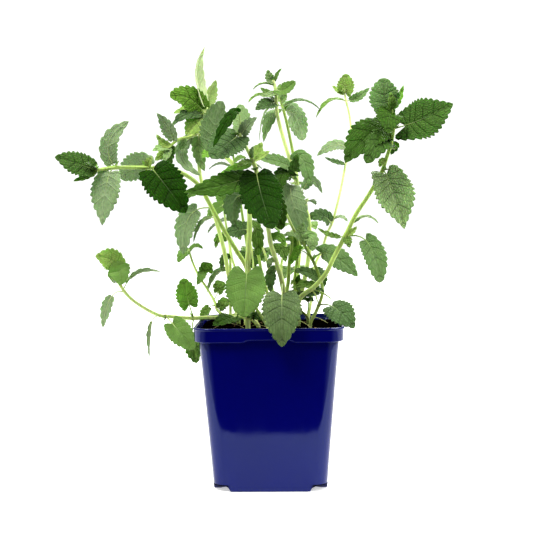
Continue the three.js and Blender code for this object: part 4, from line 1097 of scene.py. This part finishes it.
def pairedLeaves(shoot):
    draw = seededDraws(shoot["seed"])
    route = np.array(shoot["route"], dtype=float)
    last = len(route) - 1
    up = np.array([0, 0, 1.0])
    rows = []
    for pair in range(shoot["pairs"]):
        rank = pair / (shoot["pairs"] - 1)
        share = mix(backPairs["lowest"], 1, rank)
        at = share * last
        below = int(at)
        place = mix(route[below], route[min(last, below + 1)], at % 1)
        size = shoot["size"] * mix(1, backPairs["tipSize"], rank ** backPairs["shrinkPower"])
        for side in range(2):
            spread = (next(draw) - 0.5) * backPairs["turnSpread"]
            turn = shoot["turn"] + pair * math.pi / 2 + side * math.pi + spread
            reach = size * mix(*backPairs["reach"], next(draw))
            outward = np.array([math.cos(turn), math.sin(turn), 0])
            rise = reach * mix(*backPairs["rise"], next(draw))
            drop = reach * mix(*backPairs["drop"], share) * mix(*backPairs["dropSpread"], next(draw))
            elbow = place + outward * reach * backPairs["elbow"] + up * rise
            tip = place + outward * reach - up * drop
            face = outward * backPairs["tilt"] + up
            colour = backPairs["colours"][(pair * 2 + side) % len(backPairs["colours"])]
            rows.append([at, elbow, tip, reach * backPairs["width"], reach * backPairs["stalk"], face,
                         backPairs["fold"], colour])
    return rows


class StemLine:
    # A centripetal curve through the route, as the part's source has it
    def __init__(self, shoot):
        points = [np.array(point, dtype=float) for point in shoot["route"]]
        self.before = 0
        if "on" not in shoot:
            x, y = points[0][:2]
            points = [np.array([x, y, plant["stemFoot"]]), np.array([x, y, plant["soilTop"]])] + points
            self.before = 2
        self.points = [2 * points[0] - points[1]] + points + [2 * points[-1] - points[-2]]
        self.spans = len(points) - 1

    def place(self, at):
        # at counts the route's points from 0
        count = min(max(at + self.before, 0), self.spans)
        span = min(int(count), self.spans - 1)
        share = count - span
        p0, p1, p2, p3 = self.points[span:span + 4]
        gap0, gap1, gap2 = (
            max(np.linalg.norm(b - a) ** 0.5, 1e-4) for a, b in ((p0, p1), (p1, p2), (p2, p3)))
        slope1 = ((p1 - p0) / gap0 - (p2 - p0) / (gap0 + gap1) + (p2 - p1) / gap1) * gap1
        slope2 = ((p2 - p1) / gap1 - (p3 - p1) / (gap1 + gap2) + (p3 - p2) / gap2) * gap1
        cube = 2 * p1 - 2 * p2 + slope1 + slope2
        square = -3 * p1 + 3 * p2 - 2 * slope1 - slope2
        place = cube * share ** 3 + square * share ** 2 + slope1 * share + p1
        along = 3 * cube * share ** 2 + 2 * square * share + slope1
        return place, unit(along)

    def thin(self, at):
        return 1 - plant["stemThinning"] * ((at + self.before) / self.spans) ** 2


def pathLengths(places):
    return np.concatenate([[0], np.cumsum(np.linalg.norm(np.diff(places, axis=0), axis=1))])


def stemRings(line, thick, nodes):
    # A rounded square section that swells at each node and turns with the stem
    angles = np.arange(plant["stemSides"]) * 2 * math.pi / plant["stemSides"]
    square = 1 / np.maximum(np.abs(np.cos(angles)), np.abs(np.sin(angles)))
    section = mix(square, 1.12, plant["stemCorner"]) * (1 - plant["stemGroove"] * np.cos(4 * angles))
    samples = np.linspace(-line.before, line.spans - line.before, line.spans * 12 + 1)
    lengths = pathLengths(np.array([line.place(at)[0] for at in samples]))
    steps = max(8, int(lengths[-1] / plant["stemRing"]))
    stops = np.interp(np.linspace(0, lengths[-1], steps + 1), lengths, samples)
    side = np.array([1.0, 0, 0])
    rings = []
    for at in stops:
        place, along = line.place(at)
        side = unit(side - along * np.dot(side, along))
        across = np.cross(along, side)
        near = sum(math.exp(-((at - node) / plant["nodeLength"]) ** 2) for node in nodes)
        half = thick / 2 * line.thin(at) * (1 + plant["nodeSwelling"] * min(near, 1))
        ring = np.outer(np.cos(angles), side) + np.outer(np.sin(angles), across)
        rings.append(place + ring * (section * half)[:, None])
    shares = np.interp(stops, (stops[0], stops[-1]), (0, 1))
    return rings, shares, angles


class LeafLine:
    # The bent midrib, with the way across it and the way up from its upper face
    def __init__(self, root, elbow, tip, face):
        share = np.linspace(0, 1, 48)[:, None]
        root, elbow, tip = (np.array(point, dtype=float) for point in (root, elbow, tip))
        self.points = root * (1 - share) ** 2 + elbow * 2 * share * (1 - share) + tip * share ** 2
        self.ways = unit((elbow - root) * (1 - share) + (tip - elbow) * share)
        self.lengths = pathLengths(self.points)
        self.length = self.lengths[-1]
        self.face = unit(np.array(face, dtype=float))

    def frame(self, distance):
        held = np.clip(distance, 0, self.length)
        place, along = (
            np.stack([np.interp(held, self.lengths, known[:, axis]) for axis in range(3)], axis=-1)
            for known in (self.points, self.ways))
        along = unit(along)
        side = unit(np.cross(along, self.face))
        return place + along * (distance - held)[..., None], side, np.cross(side, along)


def leafShape(width, teeth, rowsPerTooth, lobe, point, strength):
    # Where each vein row starts on the midrib and ends at the toothed edge, in shares of the blade
    rows = np.linspace(0.012, 1, teeth * rowsPerTooth + 1)
    nominal = rows ** (1 / plant["archBias"])
    arch = np.sin(math.pi * rows) ** (plant["archFullness"] + point * smoothStep((rows - 0.4) / 0.5))
    phase = rows * teeth % 1
    tooth = np.sin(math.pi * phase ** 1.3) ** 0.72
    fade = smoothStep(rows / 0.12) * smoothStep((1.02 - rows) / 0.1)
    deep = plant["toothDepth"] * mix(0.45, 1, strength) * math.sqrt(width / 10) * 2 / width
    out = arch * (1 + deep * fade * (tooth - 0.5))
    back = np.where(rows < 0.5, np.sin(math.pi * np.clip(arch / 0.97, 0, 1) ** 1.3), 0)
    edge = nominal - lobe * back + plant["toothLean"] * fade * tooth
    start = nominal * (1 - plant["veinSweep"] * (1 - nominal))
    return rows, start, edge, np.maximum(out, 0.3 / width)


def bladeHeight(width, fold, strength, under, rows, vein, columns, across, draw):
    # The halves fold up, the blade swells between its veins, curls across and waves at its edges
    outward = np.abs(columns)
    bulge = np.abs(np.sin(math.pi * vein)) ** 0.6 - 0.35
    window = np.sin(math.pi * outward ** 0.7) ** 0.7 + 0.2 * outward
    fade = (smoothStep(rows / 0.15) * smoothStep((1 - rows) / 0.15))[:, None]
    relief = plant["quilt"] * strength * width * bulge * window * fade * draw.uniform(0.8, 1.2)
    relief -= 0.02 * width * np.exp(-(across / (0.05 * width)) ** 2)
    curl = plant["curl"] * draw.uniform(-0.7, 1.0)
    waves = np.zeros_like(across)
    for sign in (-1, 1):
        phase = draw.uniform(0, 2 * math.pi)
        turns = draw.uniform(1.1, 2.1)
        wave = np.sin(2 * math.pi * turns * rows + phase)[:, None] * plant["wave"] * width / 2
        waves += np.where(np.sign(columns) == sign, wave * outward ** 2, 0)
    lift = np.abs(across) * fold + waves * fade - curl * across ** 2 / (width / 2)
    return lift + (-relief if under else relief)


def slabFaces(rows, columns):
    # The upper face, the lower face and the rim of a grid of points that is there twice
    total = rows * columns
    faces = []
    for row in range(rows - 1):
        for column in range(columns - 1):
            a = row * columns + column
            b = a + columns
            faces.append((a, a + 1, b + 1, b))
            faces.append((total + a, total + b, total + b + 1, total + a + 1))
    root = list(range(columns))
    right = [row * columns + columns - 1 for row in range(1, rows)]
    tip = [(rows - 1) * columns + column for column in range(columns - 2, -1, -1)]
    left = [row * columns for row in range(rows - 2, 0, -1)]
    loop = root + right + tip + left
    return faces + [(total + a, total + b, b, a) for a, b in zip(loop, loop[1:] + loop[:1])]


def twice(values):
    # For the points of the upper and of the lower face
    return np.concatenate([values.ravel(), values.ravel()])


def addLeaf(clouds, line, width, stalk, fold, look, form, stemTone, draw):
    size = "tiny" if width < plant["tinyWidth"] else "small" if width < plant["smallWidth"] else "large"
    fewest, perWidth = plant["teeth"]
    teeth = max(3, round(fewest + width * perWidth))
    blade = line.length - stalk
    lobe = plant["lobe"] * min(1, max(0.15, width / blade * 1.6 - 0.35)) * draw.uniform(0.85, 1.1)
    point = draw.uniform(*plant[form])
    strength = smoothness.get(look, 1)
    under = look in paleUnder
    rows, start, edge, out = leafShape(width, teeth, plant["rowsPerTooth"][size], lobe, point, strength)
    half = np.array(plant["tinyColumns" if size == "tiny" else "columns"])
    columns = np.concatenate([-half[:0:-1], half])
    outward = np.abs(columns)
    along = start[:, None] + (edge - start)[:, None] * outward ** 1.15
    across = out[:, None] * columns * width / 2
    vein = rows[:, None] * max(3, round(teeth * plant["veinsPerTooth"])) + 0.3 + 0 * columns
    height = bladeHeight(width, fold, strength, under, rows, vein, columns, across, draw)
    place, side, normal = line.frame(stalk + blade * along)
    middle = place + side * across[..., None] + normal * height[..., None]
    thick = mix(plant["bladeThickness"], plant["edgeThickness"], outward)[None, :, None] / 2
    points = np.concatenate([middle + normal * thick, middle - normal * thick]).reshape(-1, 3)
    own = np.array(leafColours[look]) * draw.uniform(*plant["shades"])
    clouds["blades"].add(
        points, slabFaces(len(rows), len(columns)), tone=(*own, strength), vein=twice(vein),
        cross=twice(np.broadcast_to(outward, across.shape)),
        rib=twice(np.abs(across) + plant["ribFade"] * rows[:, None] ** 1.5),
        under=np.repeat([1.0 if under else 0.0, 1.0], len(points) // 2))
    clouds["margins"].append((middle[:, 0], -side[:, 0], normal[:, 0]))
    clouds["margins"].append((middle[:, -1], side[:, -1], normal[:, -1]))
    radius = plant["stalkRadius" if size == "large" else "smallStalkRadius"]
    addStalk(clouds, line, stalk, radius, under, own, stemTone)


def addStalk(clouds, line, stalk, radius, under, own, stemTone):
    # The stalk runs on as the midrib, on the face that shows it raised
    blade = line.length - stalk
    ribStops = stalk + blade * np.linspace(0, plant["ribEnd"], 10)
    stops = np.concatenate([np.linspace(0, stalk, 5)[:-1], ribStops])
    place, side, normal = line.frame(stops)
    past = np.clip((stops - stalk) / blade, 0, 1)
    free = radius * mix(1.35, 1.0, stops / max(stalk, 0.1))
    radii = np.where(stops < stalk, free, radius * (1 - past) ** 1.1 * (1 if under else 0.85) + 0.05)
    sink = (plant["bladeThickness"] / 2 + radii * 0.25) * smoothStep(past * 12)
    points, faces = tube(place + normal * (sink if under else -sink)[:, None], radii)
    near = mix(own, stemTone, 0.45)
    far = mix(own, stemTone, 0.18 if under else 0.03)
    tones = mix(near, far, smoothStep(past / 0.4)[:, None])
    tones = np.column_stack([tones, np.ones(len(stops))])
    clouds["stalks"].add(points, faces, tone=np.repeat(tones, len(points) // len(stops), axis=0))


bud = {    # mm, a pair of very young leaves in the angle between a leaf and the stem
    "leafWidth": 13,    # on leaves wider than this, with a shorter stalk than the next value
    "leafStalk": 12,
    "apart": 0.25,
    "length": (3.6, 6.5),
    "width": 0.52,
    "stalk": 0.8,
    "fold": 0.3,
    "colours": ["young", "fresh"],
}


def addBuds(clouds, line, thick, at, toward, stemTone, draw):
    place, along = line.place(at)
    outward = unit(toward - along * np.dot(toward, along))
    across = np.cross(along, outward)
    up = along if along[2] >= 0 else -along
    root = place + outward * thick * 0.3
    for sign in (-1, 1):
        long = draw.uniform(*bud["length"])
        way = unit(outward * draw.uniform(0.6, 1.0) + up * draw.uniform(0.5, 0.9)
                   + across * sign * draw.uniform(0.4, 0.9))
        elbow = root + way * long * 0.5 + up * long * 0.16
        leaf = LeafLine(root, elbow, root + way * long, up * 0.8 - outward * 0.5)
        width = long * bud["width"]
        look = draw.choice(bud["colours"])
        addLeaf(clouds, leaf, width, bud["stalk"], bud["fold"], look, "even", stemTone, draw)


hair = {    # mm
    "stemPerMm": 3.0,
    "stemLength": (0.35, 0.85),
    "stemBare": 1.5,    # no hairs up to this height above the soil
    "edgePerMm": 1.5,
    "edgeLength": (0.25, 0.55),
    "thickness": 0.045,
    "stemRoot": 0.05,    # how far a hair starts under the skin
    "edgeRoot": 0.04,
    "colour": (0.62, 0.72, 0.45, 1),
    "paleColour": (0.8, 0.86, 0.66, 1),
}


def addHair(hairs, start, way, size):
    # A thin closed spike with three sides
    side = unit(np.cross(way, (0.37, 0.61, 0.7))) * hair["thickness"]
    across = np.cross(way, side)
    points = [start + side, start - side * 0.5 + across * 0.87, start - side * 0.5 - across * 0.87,
              start + way * size]
    hairs.add(points, [(2, 1, 0), (0, 1, 3), (1, 2, 3), (2, 0, 3)])


def scatter(draw, amount):
    return np.array([draw.uniform(-amount, amount) for axis in range(3)])


def addStemHairs(hairs, rings, bareBelow, draw):
    rings = np.array(rings)
    middles = rings.mean(axis=1)
    for count in range(int(pathLengths(middles)[-1] * hair["stemPerMm"])):
        ring = draw.randrange(len(rings) - 1)
        side = draw.randrange(rings.shape[1])
        start = mix(rings[ring, side], rings[ring + 1, side], draw.random())
        if start[2] >= bareBelow:
            way = unit(start - middles[ring] + scatter(draw, 0.4))
            addHair(hairs, start - way * hair["stemRoot"], way, draw.uniform(*hair["stemLength"]))


def addEdgeHairs(hairs, edge, out, normal, draw):
    for count in range(int(pathLengths(edge)[-1] * hair["edgePerMm"])):
        index = draw.randrange(len(edge) - 1)
        start = mix(edge[index], edge[index + 1], draw.random())
        way = unit(out[index] + normal[index] * draw.uniform(-0.6, 0.6) + scatter(draw, 0.3))
        addHair(hairs, start - way * hair["edgeRoot"], way, draw.uniform(*hair["edgeLength"]))


def stemColour(name, share):
    # Pale and yellow at the foot, green towards the tip, then paler or darker on some stems by their tone;
    # the pale foot and the paler tones are partly the stems' own colour and partly painted light
    foot, middle, tip, dark, pale = (np.array(known) for known in stemColours.values())
    colour = mix(foot, middle, share * 2) if share < 0.5 else mix(middle, tip, share * 2 - 1)
    tone = stemTones.get(name, 0)
    return mix(colour, dark, tone) if tone > 0 else mix(colour, pale, -tone)


def growStem(shoot, clouds, draw):
    line = StemLine(shoot)
    rows = pairedLeaves(shoot) if "pairs" in shoot else shoot.get("leaves", [])
    nodes = [row[0] for row in rows if row[3] > plant["nodeWidth"]]
    rings, shares, angles = stemRings(line, shoot["thick"], nodes)
    points, faces = loftRings(rings)
    tones = np.repeat([stemColour(shoot["name"], share) for share in shares], len(angles), axis=0)
    tones *= np.tile(0.93 + 0.14 * np.cos(4 * angles + math.pi), len(rings))[:, None]
    clouds["stalks"].add(points, faces, tone=np.column_stack([tones, np.ones(len(points))]))
    clouds["margins"] = []    # the leaf edges, for their hairs
    budded = []
    for at, elbow, tip, width, stalk, face, fold, look, *form in rows:
        place, along = line.place(at)
        toward = elbow - place
        outward = unit(toward - along * np.dot(toward, along))
        root = place + outward * plant["rootOffset"] * shoot["thick"] * line.thin(at)
        colour = stemColour(shoot["name"], (at + line.before) / line.spans)
        leaf = LeafLine(root, elbow, tip, face)
        addLeaf(clouds, leaf, width, stalk, fold, look, form[0] if form else "even", colour, draw)
        large = width > bud["leafWidth"] and stalk < bud["leafStalk"]
        if large and all(abs(at - known) > bud["apart"] for known in budded):
            budded.append(at)
            addBuds(clouds, line, shoot["thick"], at, toward, colour, draw)
    addStemHairs(clouds["hairs"], rings, 0 if "on" in shoot else soil["top"] + hair["stemBare"], draw)
    for edge, out, normal in clouds["margins"]:
        addEdgeHairs(clouds["hairs"], edge, out, normal, draw)


leafSkin = {
    "wanderScale": 330,
    "veinWidth": (0.1, 0.04),    # from the midrib to the edge, as a share of the space between veins
    "midrib": (0.6, 0.15),    # mm from its middle, where it starts and where it is full
    "cellsPerVein": 2.6,
    "cellsPerMm": 0.52,
    "cellBorder": 0.34,
    "cellDepth": 0.55,
    "blotchScale": 95,
    "blotchShades": (0.9, 1.12),
    "grainScale": 700,
    "grainShades": (0.95, 1.05),
    # painted light: the upper face's colour on its domes and in its grooves, as a painted highlight and a
    # painted shade
    "paintedReliefLight": (1.15, 0.52),
    "ribTone": ((1.5, 1.35, 1.4), (0.04, 0.06, 0.02)),    # times and plus the leaf's colour
    "underTone": ((0.8, 0.8, 0.8), (0.05, 0.065, 0.04)),
    "lineTone": ((1.1, 1.05, 1.1), (0.13, 0.15, 0.09)),
    "relief": 0.00045,    # m
    "downScale": 2600,
    "downRelief": 0.0001,
    "roughness": (0.48, 0.64),
    "surface": {
        "Specular IOR Level": 0.07, "Subsurface Weight": 0.22, "Subsurface Radius": (0.35, 0.7, 0.12),
        "Subsurface Scale": 0.0015, "Sheen Weight": 0.025, "Sheen Roughness": 0.4,
        "Sheen Tint": (0.85, 0.95, 0.75, 1)},
}


def leafMaterial():
    skin = Finish("leafBlade")
    tone = skin.own("tone", "Color")
    strength = skin.own("tone", "Alpha")    # of the relief
    vein, cross, rib, under = (skin.own(name) for name in ("vein", "cross", "rib", "under"))
    wander = skin.noise(leafSkin["wanderScale"], 1)
    # Side veins lie where the vein value passes a whole number, and get finer towards the edge
    veinWidth = skin.ease(cross, 0.0, 1.0, *leafSkin["veinWidth"])
    away = skin.maths("DIVIDE", skin.maths("PINGPONG", vein, 0.5), veinWidth)
    sideVein = skin.maths("SUBTRACT", 1.0, skin.maths("MINIMUM", away, 1.0))
    sideVein = skin.maths("MULTIPLY", sideVein, skin.ease(cross, 1.0, 0.75))
    midrib = skin.ease(rib, *leafSkin["midrib"])
    # Between them the blade is quilted: cells of about 2 mm that follow the veins
    cell = skin.node("CombineXYZ", {
        "X": skin.maths("MULTIPLY_ADD", vein, leafSkin["cellsPerVein"], wander),
        "Y": skin.maths("MULTIPLY", rib, leafSkin["cellsPerMm"]),
        "Z": skin.maths("MULTIPLY", wander, 0.8)})
    net = skin.node("TexVoronoi", {"Vector": cell.outputs[0], "Scale": 1.0, "Randomness": 0.85},
                    feature="DISTANCE_TO_EDGE")
    dome = skin.ease(net.outputs["Distance"], 0.0, leafSkin["cellBorder"])
    cellGroove = skin.maths("MULTIPLY", skin.maths("SUBTRACT", 1.0, dome), leafSkin["cellDepth"])
    veins = skin.maths("MAXIMUM", sideVein, midrib)
    groove = skin.maths("MULTIPLY", skin.maths("MAXIMUM", cellGroove, veins), strength)
    # Painted light on the upper face: lighter on its domes as a painted highlight, darker in its grooves
    # and veins as painted shade; the lower face has raised pale veins
    blotches = skin.ease(skin.noise(leafSkin["blotchScale"], 3), 0.32, 0.68, *leafSkin["blotchShades"])
    grain = skin.ease(skin.noise(leafSkin["grainScale"], 3), 0.3, 0.7, *leafSkin["grainShades"])
    shaded = skin.scaled(tone, skin.maths("MULTIPLY", blotches, grain))
    upper = skin.scaled(shaded, skin.ease(groove, 0.0, 1.0, *leafSkin["paintedReliefLight"]))
    ribTone = skin.lifted(tone, *leafSkin["ribTone"])
    upper = skin.mixed(skin.maths("MULTIPLY", midrib, 0.3), upper, ribTone)
    lines = skin.maths("MAXIMUM", veins, skin.maths("MULTIPLY", skin.ease(dome, 0.6, 0.0), 0.5))
    lineTone = skin.lifted(tone, *leafSkin["lineTone"])
    underTone = skin.lifted(shaded, *leafSkin["underTone"])
    lower = skin.mixed(skin.maths("MULTIPLY", lines, 0.5), underTone, lineTone)
    down = skin.noise(leafSkin["downScale"], 2)
    swell = skin.maths("SUBTRACT", skin.maths("MULTIPLY", dome, 0.75), sideVein)
    faceWay = skin.maths("MULTIPLY", skin.maths("MULTIPLY_ADD", under, -1.7, 1.0), strength)
    swelling = skin.bump(skin.maths("MULTIPLY", swell, faceWay), 1.0, leafSkin["relief"])
    return skin.dress({
        **leafSkin["surface"],
        "Base Color": skin.mixed(under, upper, lower),
        "Roughness": skin.ease(down, 0.3, 0.7, *leafSkin["roughness"]),
        "Normal": skin.bump(down, 0.25, leafSkin["downRelief"], Normal=swelling)})


stemSkin = {
    "streakScale": 900,
    "streakStretch": (1, 1, 0.12),
    "patchScale": 60,
    "shades": (0.85, 1.12),
    "surface": {
        "Roughness": 0.48, "Specular IOR Level": 0.4, "Subsurface Weight": 0.35,
        "Subsurface Radius": (0.6, 0.9, 0.2), "Subsurface Scale": 0.0015, "Sheen Weight": 0.1,
        "Sheen Roughness": 0.45},
}


def stemMaterial():
    skin = Finish("stemSkin")
    streak = skin.noise(stemSkin["streakScale"], 3, skin.stretched(stemSkin["streakStretch"]))
    patch = skin.noise(stemSkin["patchScale"], 2)
    shade = skin.maths("MULTIPLY", skin.ramp(streak, 0.3, 0.7, *stemSkin["shades"]),
                       skin.ramp(patch, 0.35, 0.65, *stemSkin["shades"]))
    return skin.dress({
        **stemSkin["surface"],
        "Base Color": skin.scaled(skin.own("tone", "Color"), shade),
        "Normal": skin.bump(streak, 0.3, 0.0002)})


def hairMaterial():
    skin = Finish("fineHair")
    return skin.dress({
        "Base Color": skin.mixed(skin.noise(200, 1), hair["colour"], hair["paleColour"]),
        "Roughness": 0.5})


def growPieces(base, shoots, seed, skins, *nodes):
    # The blades, the stalks and the hairs of a few shoots, each as one piece
    draw = random.Random(seed)
    clouds = {"blades": Cloud("tone", "vein", "cross", "rib", "under"), "stalks": Cloud("tone"),
              "hairs": Cloud()}
    for shoot in shoots:
        growStem(shoot, clouds, draw)
    for key, skin in skins.items():
        seatPiece(clouds[key].piece(base + key.capitalize(), skin), "foliage", *nodes)
    print(base, "grown")


def growPlant():
    skins = {"blades": leafMaterial(), "stalks": stemMaterial(), "hairs": hairMaterial()}
    for number, stem in enumerate(stem for stem in stems if "on" not in stem):
        name = stem["name"]
        members = [member for member in stems if member is stem or member.get("on") == name]
        first, *others = name.split("_")
        base = first + "".join(word.capitalize() for word in others)
        growPieces(base, members, plant["seed"] + number, skins, name)
    growPieces("innerShoot", [{**shoot, "on": "soil"} for shoot in innerShoots], plant["shootSeed"], skins)


growPlant()
print("plant grown")
